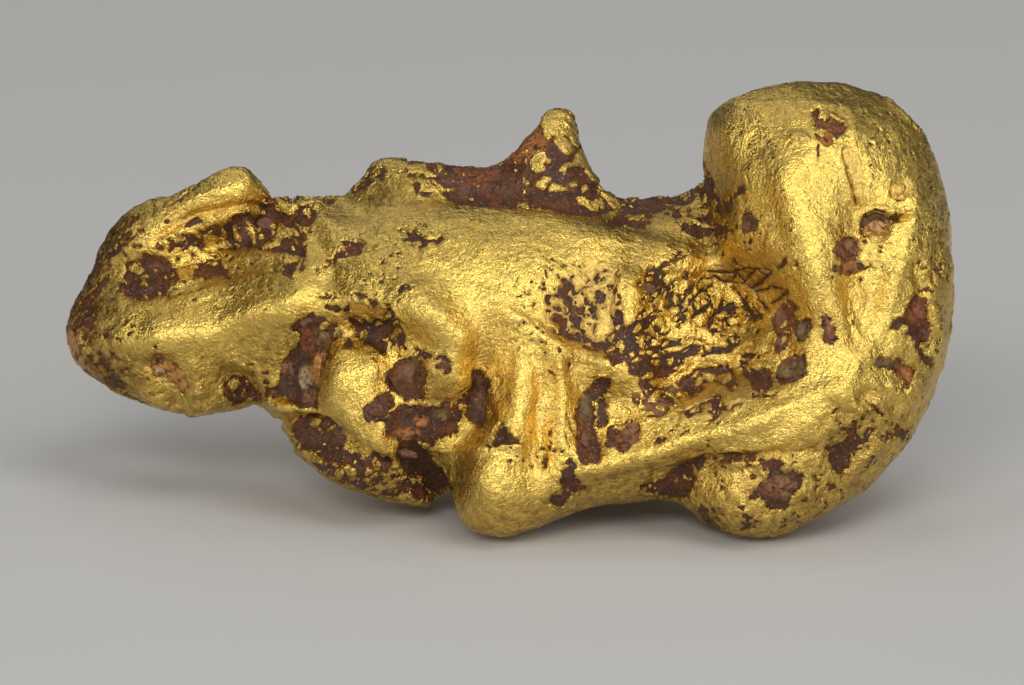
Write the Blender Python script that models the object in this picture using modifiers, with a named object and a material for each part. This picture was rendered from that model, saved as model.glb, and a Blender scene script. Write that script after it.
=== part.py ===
"""A water-worn gold nugget with ironstone and quartz grown into it, standing on its own feet.

It is one natural lump, so it is one object. It is roughed out of ellipsoid lumps and tapered
ridges that run into each other. Its folds, hollows and pits are then worked in stroke by stroke.

Places on the nugget are given in its face frame, in millimetres: (right, deep, up), where the
face is seen square on, deep runs away from the viewer and up is up the face. The nugget leans
back, so the face frame turns by LEAN to stand it on the ground.
"""

import math

import bmesh
import bpy
import numpy as np
from mathutils import Matrix, Vector, noise

MM = 0.001
LEAN = math.radians(15)  # from upright
LIFT = 0.8  # from the face frame's zero to the ground, mm
MIDDLE = (-0.2, 12.34)  # what comes to the origin along and across the ground, mm

VOXEL = 0.4  # fusing grid, mm
BLEND = 0.8  # how far lumps flow into each other, mm
SOFTENING = 0.5  # of the way to its neighbours' middle, a point moves each pass
ROUGHING_STEP = 0.5  # spacing of the balls a ridge is roughed out of, mm
BLENDING_PASSES = (6, 3)  # a coarse round, then a finer one
FINISHING_PASSES = 3
NUDGE = 0.01  # step for finding which way the blended surface lies, mm
LEAST_SLOPE = 0.3  # of distance against travel, where lumps meet in a crease
FARTHEST = 1e-30  # keeps the logarithm of a far-off place finite
SMALLEST = 1e-9  # keeps a division off zero
FRONT_EDGE = 0.5  # how squarely a place faces front before a face stroke has its full height
WANDER = 0.7  # how far a stroke strays from its line, mm
WANDER_SCALE = 3.2  # the length over which it strays, mm
LUMPINESS = 0.5  # unevenness over the whole, mm
LUMP_SCALE = 4.5  # the length of that unevenness, mm
BACK_LUMPINESS = 1.3  # unevenness where it faces away, mm
BACK_SPREAD = 0.3  # how far that unevenness reaches round the sides
BACK_LUMP_SCALE = 6.5  # the length of that unevenness, mm
TARGET_TRIANGLES = 9000
GOLD = (0.80, 0.56, 0.17, 1.0)
GOLD_ROUGHNESS = 0.38

# Each lump: centre (right, deep, up), half sizes (right, deep, up) and its roll in degrees,
# anticlockwise as the face is seen.
LUMPS = {
    "crown": ((20.9, 8.2, 24.6), (7.6, 8.0, 6.4), -18),
    "crown_left": ((15.6, 8.0, 27.8), (2.5, 5.0, 2.2), 0),
    "crown_root": ((16.6, 9.0, 21.2), (2.6, 6.0, 4.2), 0),
    "right_flank": ((22.8, 8.0, 17.6), (7.0, 8.2, 9.6), 4),
    "lower_right": ((20.4, 6.8, 9.8), (7.6, 7.4, 7.05), 50),
    "right_foot": ((16.6, 4.4, 4.1), (4.9, 5.2, 3.95), 10),
    "shoulder": ((0.5, 9.5, 16.6), (15.0, 7.6, 5.8), -2),
    "belly": ((6.0, 8.4, 11.0), (11.0, 6.4, 6.8), 0),
    "left_foot": ((-0.9, 4.2, 4.5), (2.4, 4.8, 4.1), 5),
    "toe": ((-1.8, 4.0, 2.2), (1.0, 3.0, 1.1), 0),
    "foot_root": ((2.8, 4.4, 4.2), (3.2, 4.0, 1.8), 16),
    "front_post": ((1.4, 4.4, 8.6), (2.6, 4.0, 6.2), -8),
    "bridge": ((8.0, 6.0, 6.3), (8.2, 4.6, 3.0), 4),
    "neck": ((-13.5, 11.5, 16.2), (6.0, 6.0, 5.9), 8),
    "left_lobe": ((-21.2, 14.0, 14.2), (7.4, 6.2, 5.2), 6),
    "chin": ((-20.4, 13.0, 10.5), (2.6, 3.6, 1.9), 0),
    "neck_chin": ((-16.8, 12.4, 11.6), (2.4, 3.6, 1.6), 0),
    "left_tip": ((-26.6, 15.6, 14.5), (3.6, 4.2, 3.4), 20),
    "left_shoulder": ((-23.7, 15.4, 18.6), (4.4, 4.6, 4.1), 45),
    "lower_left": ((-9.5, 9.8, 7.2), (6.5, 6.0, 4.0), -30),
    "knob": ((-14.2, 10.4, 9.4), (1.8, 2.6, 1.3), 0),
    "knuckle": ((-10.2, 6.6, 10.2), (2.7, 4.2, 4.2), 20),
    "block": ((-4.5, 4.8, 11.4), (2.1, 3.2, 2.5), 5),
    "quartz_mass": ((-5.2, 6.2, 8.0), (3.2, 3.0, 2.6), 0),
    "nose": ((-4.8, 5.6, 15.0), (4.8, 4.4, 3.0), -35),
    "hollow_floor": ((-14.4, 14.0, 19.5), (4.4, 4.0, 3.8), 0),
    "crest": ((-6.2, 13.5, 22.2), (4.3, 4.4, 3.8), 0),
    "crest_right": ((-1.0, 13.8, 21.6), (5.0, 4.0, 3.7), 0),
    "saddle": ((8.5, 13.0, 19.8), (9.0, 4.4, 3.5), 0),
    "heel": ((3.0, 14.2, 8.8), (6.6, 5.0, 5.2), 0),
    "heel_foot": ((5.4, 16.0, 6.4), (3.2, 2.6, 3.3), 0),
    "back": ((8.0, 14.6, 14.0), (11.5, 4.4, 6.4), 0),
    "back_swell": ((-3.6, 15.6, 15.4), (5.2, 3.6, 4.4), 30),
    "back_cheek": ((14.4, 16.0, 16.6), (3.6, 3.2, 5.2), -25),
    "crown_back": ((22.8, 13.0, 23.2), (4.6, 4.2, 4.4), 20),
    "flank_back": ((23.6, 13.4, 12.6), (4.0, 3.6, 4.4), -20),
    "neck_back": ((-11.6, 15.4, 18.4), (3.4, 3.0, 3.0), 0),
    "lobe_back": ((-18.4, 17.0, 16.2), (4.4, 3.4, 3.2), 15),
}

# Each ridge: points (right, deep, up) with the radius there.
RIDGES = {
    "peak": (
        ((2.9, 13.0, 22.0), 4.2),
        ((2.7, 13.0, 25.0), 2.9),
        ((3.1, 13.0, 27.0), 1.7),
        ((3.4, 13.0, 28.3), 0.9),
    ),
    "left_hook": (
        ((-26.4, 14.5, 18.2), 1.5),
        ((-24.0, 13.6, 21.0), 2.0),
        ((-21.0, 12.6, 22.6), 1.9),
        ((-18.3, 12.0, 23.8), 1.8),
    ),
    "lip": (
        ((3.2, 2.6, 5.0), 1.7),
        ((8.0, 2.0, 6.0), 1.5),
        ((13.0, 1.4, 7.8), 1.6),
        ((18.0, 1.2, 10.0), 2.0),
        ((21.5, 1.6, 13.2), 2.2),
    ),
    "cheek": (
        ((18.2, 3.4, 24.6), 2.6),
        ((19.6, 2.0, 20.8), 2.4),
        ((21.2, 1.8, 16.0), 2.2),
    ),
    "outer_rim": (
        ((25.6, 4.6, 22.0), 2.4),
        ((26.2, 4.4, 18.2), 2.4),
        ((26.0, 4.6, 13.0), 2.2),
    ),
}

# Each fold of the face: points (right, up), reach to either side and height, mm.
# A negative height presses in.
FOLDS = {
    "nose_fold": (((-10.0, 17.6), (-6.4, 16.0), (-4.4, 14.6), (-2.6, 12.2)), 2.4, 0.7),
    "under_nose": (((-11.6, 14.8), (-9.6, 14.4), (-7.6, 13.4)), 2.0, -1.8),
    "nose_foot_valley": (((-1.8, 12.4), (-1.9, 9.4), (-3.0, 7.4)), 1.8, -1.0),
    "quartz_seat": (((-7.2, 8.6), (-4.4, 7.7)), 1.7, -0.5),
    "knuckle_ridge": (((-10.4, 12.2), (-9.8, 9.4), (-8.8, 6.4)), 2.2, 0.7),
    "knuckle_left_valley": (((-13.4, 15.2), (-13.9, 12.4), (-13.6, 9.6)), 1.9, -1.0),
    "left_lobe_ridge": (((-26.4, 13.4), (-20.0, 14.0), (-14.6, 16.2)), 3.4, 0.6),
    "hook_valley": (((-26.4, 17.8), (-23.4, 18.6), (-19.6, 19.4), (-16.4, 21.2)), 2.3, -1.3),
    "hook_hollow": (((-16.4, 21.4), (-14.0, 21.0)), 2.4, -1.4),
    "bulge_band": (((-13.4, 7.6), (-9.8, 5.9), (-6.4, 4.6)), 1.3, -0.7),
    "foot_hollow": (((-5.6, 5.8), (-5.2, 4.2)), 1.5, -2.0),
    "foot_face": (((-2.4, 4.4), (-0.6, 3.4)), 2.4, 0.5),
    "post_left_fold": (((0.0, 14.0), (0.2, 9.6), (0.0, 5.6)), 1.7, 0.5),
    "post_groove": (((1.9, 12.6), (1.9, 8.4), (2.2, 5.8)), 1.1, -0.6),
    "post_right_fold": (((3.2, 12.4), (3.4, 9.0), (3.6, 6.6)), 1.3, 0.6),
    "face_fold": (((-1.0, 16.0), (2.6, 13.2), (7.0, 11.8)), 1.7, 0.6),
    "shoulder_dip": (((2.0, 19.4), (5.4, 18.9), (9.0, 19.4)), 2.2, -0.4),
    "shoulder_edge": (((-9.0, 21.6), (-2.0, 22.2), (2.4, 21.8), (5.4, 20.6), (12.0, 20.0)), 1.6, 0.7),
    "crown_root_dip": (((13.6, 24.2), (13.6, 20.8)), 1.6, -0.9),
    "lip_edge": (((4.0, 4.9), (9.0, 6.0), (14.0, 7.7), (18.0, 9.4)), 1.4, 0.5),
    "lip_undercut": (((3.6, 3.4), (8.0, 4.2), (12.4, 5.0)), 1.3, -0.8),
    "lip_fill": (((16.0, 7.0), (19.4, 7.8), (22.6, 9.6)), 2.2, 0.8),
    "pit_brow": (((9.6, 19.4), (13.6, 19.6), (17.6, 19.2)), 2.0, 0.6),
    "pit_bar": (((7.9, 18.6), (8.0, 14.4)), 0.9, 0.7),
    "right_valley": (((22.6, 22.4), (23.4, 18.0), (23.9, 13.6)), 1.8, -0.9),
    "cheek_fold": (((18.6, 24.8), (19.7, 21.0), (21.2, 15.6)), 1.8, 0.5),
}

# Each pit of the face: its outline (right, up), how wide its wall is and its depth, mm.
PITS = {
    "boxwork_pit": (
        ((9.2, 18.2), (13.0, 18.4), (17.2, 17.6), (19.2, 15.0), (18.6, 11.6), (14.4, 9.8), (9.4, 10.0)),
        1.8,
        1.2,
    ),
    "pit_band": (((9.0, 12.2), (13.4, 12.0), (18.6, 14.2), (18.4, 11.8), (14.0, 9.8), (9.4, 10.0)), 1.1, 0.6),
    "left_boxwork": (((2.4, 17.4), (5.2, 18.4), (7.2, 16.6), (7.0, 12.8), (4.6, 13.6)), 1.2, 0.6),
    "post_pit": (((4.8, 10.6), (7.6, 10.8), (8.4, 8.4), (6.8, 5.8), (4.9, 5.9)), 1.6, 0.8),
    "tip_dent": (((-24.8, 12.4), (-22.8, 12.8), (-22.2, 11.2), (-24.2, 10.9)), 1.0, 0.5),
    "neck_recess": (((-19.6, 11.6), (-16.8, 11.4), (-16.6, 9.6), (-19.2, 9.8)), 1.0, 0.8),
    "crown_pit": (((20.4, 28.6), (21.8, 28.7), (21.8, 27.4), (20.5, 27.4)), 0.8, 0.5),
    "green_pit": (((23.2, 22.2), (24.8, 22.2), (24.6, 21.0), (23.2, 21.0)), 0.8, 0.8),
    "valley_pit": (((21.6, 20.2), (23.2, 20.4), (22.9, 18.4), (21.8, 18.2)), 0.8, 0.5),
    "rim_pit": (((26.2, 16.6), (27.8, 16.4), (28.0, 13.2), (26.4, 13.8)), 0.8, 0.7),
    "low_rim_pit": (((24.2, 12.4), (26.2, 12.2), (26.2, 10.8), (24.8, 11.2)), 0.7, 0.6),
    "low_pit": (((20.8, 7.0), (22.4, 6.8), (22.0, 5.0), (20.8, 5.2)), 0.8, 0.6),
    "foot_pit": (((16.2, 4.6), (18.8, 5.0), (18.6, 3.2), (16.6, 3.0)), 0.8, 0.5),
    "cheek_pit": (((20.6, 15.4), (21.8, 15.2), (21.6, 13.6), (20.8, 13.8)), 0.6, 0.5),
}

# Each stroke round the back, top and underside: points (right, deep, up), reach and height, mm.
BACK_STROKES = {
    "back_valley": (((-10.0, 19.0, 20.0), (-6.0, 18.5, 14.0), (-2.0, 18.0, 9.0)), 2.8, -1.6),
    "back_gully": (((2.0, 19.0, 18.0), (5.0, 19.5, 13.0), (10.0, 19.0, 9.0)), 2.6, -1.5),
    "back_hollow": (((17.5, 17.0, 20.0), (18.4, 16.5, 14.0), (17.0, 15.0, 9.0)), 2.8, -1.6),
    "back_ridge": (((0.0, 19.0, 16.0), (1.0, 19.5, 11.0), (3.0, 19.0, 7.0)), 1.8, 0.8),
    "back_ledge": (((6.0, 18.0, 18.5), (11.0, 19.0, 17.4), (15.0, 19.0, 14.0)), 1.7, 0.9),
    "back_pit": (((10.0, 19.0, 13.4), (12.4, 19.2, 12.6)), 2.0, -1.3),
    "crown_back_dent": (((25.0, 16.0, 20.0), (20.0, 17.0, 20.4)), 2.2, -1.1),
    "crown_top_fold": (((17.0, 11.0, 30.0), (22.0, 13.0, 28.6), (26.0, 12.0, 26.0)), 2.0, 0.7),
    "crown_top_dent": (((18.0, 14.0, 27.0), (22.0, 15.0, 26.0)), 2.2, -1.0),
    "flank_back_fold": (((29.0, 10.0, 12.0), (28.5, 12.5, 18.0), (27.0, 13.0, 23.0)), 2.0, 0.7),
    "flank_gully": (((30.0, 7.0, 20.0), (29.5, 9.0, 14.0), (27.0, 9.0, 8.0)), 1.8, -0.8),
    "lobe_back_dent": (((-25.0, 19.5, 16.0), (-21.0, 20.0, 13.5)), 2.4, -1.3),
    "lobe_back_ridge": (((-28.0, 18.0, 18.0), (-24.0, 19.5, 19.0), (-19.0, 19.0, 18.6)), 1.8, 0.8),
    "lobe_back_pit": (((-17.0, 20.0, 15.6), (-15.0, 19.0, 15.0)), 1.7, -1.2),
    "heel_pit": (((0.0, 19.0, 9.6), (1.5, 19.5, 8.0)), 1.7, -1.0),
    "under_lobe": (((-22.0, 15.0, 9.0), (-16.0, 13.0, 10.0)), 2.4, -1.0),
    "under_belly": (((8.0, 9.0, 4.0), (13.0, 10.0, 5.0)), 2.6, -1.0),
    "under_flank": (((20.0, 9.0, 3.0), (24.0, 11.0, 6.0)), 2.4, -0.9),
    "top_groove": (((-3.0, 9.6, 23.0), (3.0, 9.0, 22.0), (9.0, 9.6, 22.0)), 2.4, -0.8),
    "saddle_pit": (((7.0, 14.0, 23.5), (10.0, 15.0, 23.5)), 1.9, -0.9),
    "crest_fold": (((-9.0, 14.0, 25.0), (-5.0, 16.5, 25.0), (-1.0, 17.0, 24.0)), 1.5, 0.6),
}


def lump_matrix(centre, half, roll):
    """Places a unit ball as one lump."""
    turn = Matrix.Rotation(math.radians(-roll), 4, "Y")
    return Matrix.Translation(centre) @ turn @ Matrix.Diagonal((*half, 1.0))


def rough_lumps():
    """All lumps and ridges as overlapping balls in one mesh, each a BLEND too large."""
    bm = bmesh.new()
    for centre, half, roll in LUMPS.values():
        place = lump_matrix(centre, [h + BLEND for h in half], roll)
        bmesh.ops.create_icosphere(bm, subdivisions=4, radius=1.0, matrix=place)
    for points in RIDGES.values():
        for (start, r0), (end, r1) in zip(points, points[1:]):
            steps = math.ceil((Vector(end) - Vector(start)).length / ROUGHING_STEP)
            for i in range(steps + 1):
                place = Matrix.Translation(Vector(start).lerp(Vector(end), i / steps))
                radius = r0 + (r1 - r0) * i / steps + BLEND
                bmesh.ops.create_icosphere(bm, subdivisions=2, radius=radius, matrix=place)
    return bm


def lump_distance(points, centre, half, roll):
    """About how far each point lies outside one ellipsoid lump."""
    turn = np.array(Matrix.Rotation(math.radians(-roll), 3, "Y"))
    local = (points - centre) @ turn / half
    nearness = np.linalg.norm(local, axis=1)
    steepness = np.linalg.norm(local / half, axis=1)
    return nearness * (nearness - 1) / np.maximum(steepness, SMALLEST)


def stretch_distance(points, start, end):
    """How far each point lies from a straight stretch, and how far along it that is, 0 to 1."""
    start = np.array(start)
    along = np.array(end) - start
    t = np.clip((points - start) @ along / (along @ along), 0, 1)
    return np.linalg.norm(points - start - t[:, None] * along, axis=1), t


def ridge_distance(points, stretch):
    """How far each point lies outside one tapered ridge."""
    each = []
    for (start, r0), (end, r1) in zip(stretch, stretch[1:]):
        away, t = stretch_distance(points, start, end)
        each.append(away - (r0 + (r1 - r0) * t))
    return np.min(each, axis=0)


def blended_distance(points):
    """How far each point lies outside all the lumps run together."""
    closeness = np.zeros(len(points))
    for lump in LUMPS.values():
        closeness += np.exp(-lump_distance(points, *lump) / BLEND)
    for stretch in RIDGES.values():
        closeness += np.exp(-ridge_distance(points, stretch) / BLEND)
    return -BLEND * np.log(np.maximum(closeness, FARTHEST))


def settle(points):
    """Moves points a step straight towards the blended surface."""
    here = blended_distance(points)
    slope = [blended_distance(points + NUDGE * axis) - here for axis in np.eye(3)]
    slope = np.stack(slope, axis=1) / NUDGE
    slope /= np.maximum(np.linalg.norm(slope, axis=1), LEAST_SLOPE)[:, None]
    return points - slope * np.clip(here, -VOXEL, VOXEL)[:, None]


def read_points(mesh):
    """The mesh's points as rows of x, y, z."""
    flat = np.empty(len(mesh.vertices) * 3, np.float32)
    mesh.vertices.foreach_get("co", flat)
    return flat.reshape(-1, 3).astype(float)


def read_normals(mesh):
    """Which way the surface faces at each point."""
    flat = np.empty(len(mesh.vertices) * 3, np.float32)
    mesh.vertex_normals.foreach_get("vector", flat)
    return flat.reshape(-1, 3).astype(float)


def write_points(mesh, points):
    """Moves the mesh's points to these rows of x, y, z."""
    mesh.vertices.foreach_set("co", points.astype(np.float32).ravel())
    mesh.update()


def bake(obj):
    """Swaps an object's mesh for what its modifiers make of it."""
    graph = bpy.context.evaluated_depsgraph_get()
    mesh = bpy.data.meshes.new_from_object(obj.evaluated_get(graph))
    obj.modifiers.clear()
    obj.data = mesh


def remesh(obj):
    """Fuses what overlaps into one skin of even squares."""
    fuse = obj.modifiers.new("fuse", "REMESH")
    fuse.mode = "VOXEL"
    fuse.voxel_size = VOXEL
    bake(obj)


def soften(obj, passes):
    """Evens the surface out a little."""
    smooth = obj.modifiers.new("soften", "SMOOTH")
    smooth.factor = SOFTENING
    smooth.iterations = passes
    bake(obj)


def thin(obj):
    """Leaves TARGET_TRIANGLES of the fused surface, fewest where it is smooth."""
    triangles = sum(len(face.vertices) - 2 for face in obj.data.polygons)
    fewer = obj.modifiers.new("thin", "DECIMATE")
    fewer.ratio = TARGET_TRIANGLES / triangles
    fewer.use_collapse_triangulate = True
    bake(obj)


def blend(obj, passes):
    """Brings the fused lumps onto their blended surface."""
    for _ in range(passes):
        write_points(obj.data, settle(read_points(obj.data)))
        soften(obj, 1)


def polyline_distance(points, line):
    """How far each point lies from a line of straight stretches."""
    return np.min([stretch_distance(points, a, b)[0] for a, b in zip(line, line[1:])], axis=0)


def outline_distance(points, outline):
    """How far each point lies outside a closed outline, negative within."""
    closed = (*outline, outline[0])
    away = polyline_distance(points, closed)
    inside = np.zeros(len(points), bool)
    for (x0, y0), (x1, y1) in zip(closed, closed[1:]):
        crosses = (points[:, 1] < y0) != (points[:, 1] < y1)
        at = x0 + (points[:, 1] - y0) * (x1 - x0) / ((y1 - y0) or SMALLEST)
        inside ^= crosses & (points[:, 0] < at)
    return np.where(inside, -away, away)


def ease(value):
    """Runs smoothly from 0 to 1 as value does."""
    value = np.clip(value, 0, 1)
    return value * value * (3 - 2 * value)


def wander(points, reach, scale):
    """Shifts points sideways by up to about reach, waving over scale, so that no line is ruled."""
    wave = [noise.noise_vector(Vector(p) / scale) for p in points]
    return points + reach * np.array(wave)


def carve_face(mesh):
    """Folds and pits, pushed straight into or out of the face."""
    points = read_points(mesh)
    seen = wander(points, WANDER, WANDER_SCALE)[:, [0, 2]]
    height = np.zeros(len(points))
    for line, reach, rise in FOLDS.values():
        height += rise * ease(1 - polyline_distance(seen, line) / reach)
    for outline, wall, depth in PITS.values():
        height -= depth * ease(0.5 - outline_distance(seen, outline) / wall)
    facing = ease(-read_normals(mesh)[:, 1] / FRONT_EDGE)
    points[:, 1] -= height * facing
    write_points(mesh, points)


def carve_back(mesh):
    """Strokes round the back, top and underside, along the surface's own direction."""
    points = read_points(mesh)
    normals = read_normals(mesh)
    wandered = wander(points, WANDER, WANDER_SCALE)
    height = np.zeros(len(points))
    for line, reach, rise in BACK_STROKES.values():
        height += rise * ease(1 - polyline_distance(wandered, line) / reach)
    away = ease(BACK_SPREAD + normals[:, 1])
    for index, point in enumerate(points):
        height[index] += LUMPINESS * noise.noise(Vector(point) / LUMP_SCALE)
        height[index] += away[index] * BACK_LUMPINESS * noise.noise(Vector(point) / BACK_LUMP_SCALE)
    write_points(mesh, points + normals * height[:, None])


def stand(mesh):
    """Turns the face frame to the ground frame in metres, and wears the feet flat."""
    lean = Matrix.Rotation(-LEAN, 3, "X")
    points = read_points(mesh) @ np.array(lean).T
    points += (-MIDDLE[0], -MIDDLE[1], LIFT)
    points[:, 2] = np.maximum(points[:, 2], 0)
    write_points(mesh, points * MM)


def gold():
    """Satin native gold."""
    material = bpy.data.materials.new("gold")
    material.use_nodes = True
    shader = material.node_tree.nodes["Principled BSDF"]
    shader.inputs["Base Color"].default_value = GOLD
    shader.inputs["Metallic"].default_value = 1.0
    shader.inputs["Roughness"].default_value = GOLD_ROUGHNESS
    return material


def nugget():
    """The whole nugget, one solid."""
    bm = rough_lumps()
    mesh = bpy.data.meshes.new("nugget")
    bm.to_mesh(mesh)
    bm.free()
    obj = bpy.data.objects.new("nugget", mesh)
    home = bpy.data.collections.new("nugget")
    bpy.context.scene.collection.children.link(home)
    home.objects.link(obj)
    for passes in BLENDING_PASSES:
        remesh(obj)
        soften(obj, passes)
        blend(obj, passes)
    carve_face(obj.data)
    carve_back(obj.data)
    remesh(obj)
    soften(obj, FINISHING_PASSES)
    thin(obj)
    stand(obj.data)
    obj.data.materials.clear()
    obj.data.materials.append(gold())
    for face in obj.data.polygons:
        face.use_smooth = True
    return obj


def main():
    for obj in list(bpy.data.objects):
        bpy.data.objects.remove(obj)
    return nugget()


if __name__ == "__main__":
    main()
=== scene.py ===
"""The looks of a water-worn gold nugget: hammered gold with ironstone and quartz grown into it.

Places on the nugget are given in its face frame, in millimetres: (right, deep, up), where the
face is seen square on, deep runs away from the viewer and up is up the face.
"""
import math

import bmesh
import bpy
import numpy as np
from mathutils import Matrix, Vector, noise
from mathutils.bvhtree import BVHTree


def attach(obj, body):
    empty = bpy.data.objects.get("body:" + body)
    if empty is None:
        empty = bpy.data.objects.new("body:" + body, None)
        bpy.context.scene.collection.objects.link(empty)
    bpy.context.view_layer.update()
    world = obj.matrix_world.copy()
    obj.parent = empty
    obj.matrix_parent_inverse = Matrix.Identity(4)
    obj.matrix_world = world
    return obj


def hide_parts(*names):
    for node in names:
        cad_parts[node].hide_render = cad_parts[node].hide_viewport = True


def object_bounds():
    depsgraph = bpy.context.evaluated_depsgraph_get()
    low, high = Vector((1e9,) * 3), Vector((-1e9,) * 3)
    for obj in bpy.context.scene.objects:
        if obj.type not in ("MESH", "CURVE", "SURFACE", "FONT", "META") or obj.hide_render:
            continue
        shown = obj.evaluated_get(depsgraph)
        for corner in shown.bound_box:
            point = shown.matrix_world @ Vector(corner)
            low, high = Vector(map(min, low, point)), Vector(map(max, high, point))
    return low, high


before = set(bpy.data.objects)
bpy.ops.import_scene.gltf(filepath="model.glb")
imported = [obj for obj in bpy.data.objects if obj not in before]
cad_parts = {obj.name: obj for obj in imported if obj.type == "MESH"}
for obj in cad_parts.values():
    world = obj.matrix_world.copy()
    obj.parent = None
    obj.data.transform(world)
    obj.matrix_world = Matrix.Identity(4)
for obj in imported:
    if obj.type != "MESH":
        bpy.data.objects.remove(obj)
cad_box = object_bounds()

# --- Camera ------------------------------------------------------------------------------------
# A long lens looks square at the nugget's face, so it looks down as much as the nugget leans
# back. The face frame is the one that every place on the nugget is given in.

MM = 0.001
LEAN = math.radians(15)  # from upright
LIFT = 0.8  # from the face frame's zero to the ground, mm
MIDDLE = (-0.2, 12.34)  # what comes to the origin along and across the ground, mm
VIEWPOINT = (0.067, -591.0, 13.456)
LENS = 314.3  # mm, on a 36 mm sensor
NEAREST = 0.05  # m
FARTHEST = 20.0  # m


def to_face(points):
    """World metres to face millimetres."""
    ground = points[:, 1] / MM + MIDDLE[1]
    height = points[:, 2] / MM - LIFT
    deep = ground * math.cos(LEAN) - height * math.sin(LEAN)
    up = ground * math.sin(LEAN) + height * math.cos(LEAN)
    return np.stack([points[:, 0] / MM + MIDDLE[0], deep, up], axis=1)


def to_world(points):
    """Face millimetres to world metres."""
    across, deep, up = points.T
    ground = deep * math.cos(LEAN) + up * math.sin(LEAN) - MIDDLE[1]
    height = up * math.cos(LEAN) - deep * math.sin(LEAN) + LIFT
    return np.stack([across - MIDDLE[0], ground, height], axis=1) * MM


camera_data = bpy.data.cameras.new("camera")
camera_data.lens = LENS
camera_data.clip_start = NEAREST
camera_data.clip_end = FARTHEST
camera = bpy.data.objects.new("camera", camera_data)
camera.location = to_world(np.array([VIEWPOINT]))[0]
camera.rotation_euler = (math.pi / 2 - LEAN, 0, 0)
bpy.context.scene.collection.objects.link(camera)
bpy.context.scene.camera = camera

# --- Gold --------------------------------------------------------------------------------------
# One lump of native gold that grew through ironstone and quartz. Streams have hammered its skin
# smooth, and where rock still fills its hollows the gold stands round it in ragged walls.
# It is the solid's own surface, rounded, divided finely where rock and gold meet, and worked.

VOXEL = 0.15  # mm
ROUNDING_PASSES = 10  # before the skin is divided evenly
SMOOTHING_PASSES = 8  # after it
SMOOTHING = 0.5  # how far a pass takes a point towards its neighbours
TRIANGLES = 198000  # at most
SIGHT_START = 0.3  # how far off the surface the line of sight begins, mm
SIGHT_FADE = 12  # passes that soften the edge of what is seen
UNSEEN_MARGIN = 4.0  # mm, keeps a mark of the face off what the viewer can't see
REACH = 1.5  # mm round a mark in which it is worked out
FAR = 9.0  # mm, stands for a place that no rock is near
FINE_REACH = 0.45  # mm round a patch of rock that is divided finely
FINEST_REACH = 0.2  # mm round plates and cracks, that are divided again
FLECK_BEND = 0.16  # mm, how raggedly the flecks are torn
FLECK_GRAIN = np.array(((1.0, 0.3, -0.5), (0.0, 1.0, 0.0), (0.6, 0.3, 1.3)))  # draws them out
FACING = 0.25  # the face ends where the surface turns further away than this
BENDS = ((2.4, 0.25), (0.9, 0.08))  # how the marks wander off their lines: length, reach, mm
FADE_FROM = 1.3  # how far out an effect reaches that fades out round a middle, of its half sizes
NOISE_SEED = 5  # Blender takes the clock where it is given none

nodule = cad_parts["nugget"]
gold_mesh = bpy.data.meshes.new("gold_skin")
shaping = bmesh.new()
shaping.from_mesh(nodule.data)
bmesh.ops.remove_doubles(shaping, verts=shaping.verts, dist=VOXEL * MM / 100)
shaping.to_mesh(gold_mesh)
shaping.free()
gold = bpy.data.objects.new("gold_skin", gold_mesh)
bpy.context.scene.collection.objects.link(gold)


def apply_modifiers(piece, *steps):
    """Runs modifiers, each given as (kind, settings), on a piece and keeps their result."""
    for kind, settings in steps:
        modifier = piece.modifiers.new(kind, kind)
        for name, value in settings.items():
            setattr(modifier, name, value)
    graph = bpy.context.evaluated_depsgraph_get()
    graph.update()
    result = bpy.data.meshes.new_from_object(piece.evaluated_get(graph))
    piece.modifiers.clear()
    piece.data = result


def read_points(mesh):
    """The mesh's points in the face frame."""
    values = np.empty(len(mesh.vertices) * 3)
    mesh.vertices.foreach_get("co", values)
    return to_face(values.reshape(-1, 3))


def read_normals(mesh):
    """The way out at each point, turned into the face frame."""
    values = np.empty(len(mesh.vertices) * 3)
    mesh.vertex_normals.foreach_get("vector", values)
    across, ground, height = values.reshape(-1, 3).T
    deep = ground * math.cos(LEAN) - height * math.sin(LEAN)
    up = ground * math.sin(LEAN) + height * math.cos(LEAN)
    return np.stack([across, deep, up], axis=1)


def read_edges(mesh):
    """The two points of each edge."""
    values = np.empty(len(mesh.edges) * 2, dtype=np.int32)
    mesh.edges.foreach_get("vertices", values)
    return values.reshape(-1, 2)


def divide(piece, wanted):
    """Divides the edges whose two points are wanted."""
    pairs = read_edges(piece.data)
    chosen = np.nonzero(wanted[pairs[:, 0]] & wanted[pairs[:, 1]])[0]
    shape = bmesh.new()
    shape.from_mesh(piece.data)
    shape.edges.ensure_lookup_table()
    chosen = [shape.edges[index] for index in chosen]
    bmesh.ops.subdivide_edges(shape, edges=chosen, cuts=1, use_grid_fill=True)
    shape.to_mesh(piece.data)
    shape.free()


def ease(value):
    """0 up to 1 with soft ends."""
    value = np.clip(value, 0, 1)
    return value * value * (3 - 2 * value)


def ripple(points, length, octaves=1, shift=0.0):
    """Noise of about -1 to 1 in waves of a length in mm. The shift keeps uses from lining up."""
    return np.array([noise.fractal(Vector(p), 1.0, 2.0, octaves) for p in points / length + shift])


def ripples(points, waves, shift):
    """The sum of several ripples, each given as (length, height) in mm."""
    return sum(high * ripple(points, length, 1, shift) for length, high in waves)


noise.seed_set(NOISE_SEED)


def wander(points, length):
    """Noise that points every way, up to about 1 long, in waves of a length in mm."""
    return np.array([noise.noise_vector(Vector(point)) for point in points / length])


def find_cells(points, kept=1):
    """For each point, how far the four nearest seats of cells are, and where the nearest are."""
    found = [noise.voronoi(Vector(point)) for point in points]
    far = np.array([distances for distances, _ in found]).reshape(-1, 4)
    seats = np.array([[tuple(seat) for seat in places[:kept]] for _, places in found])
    return far, seats.reshape(-1, kept, 3)


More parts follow.
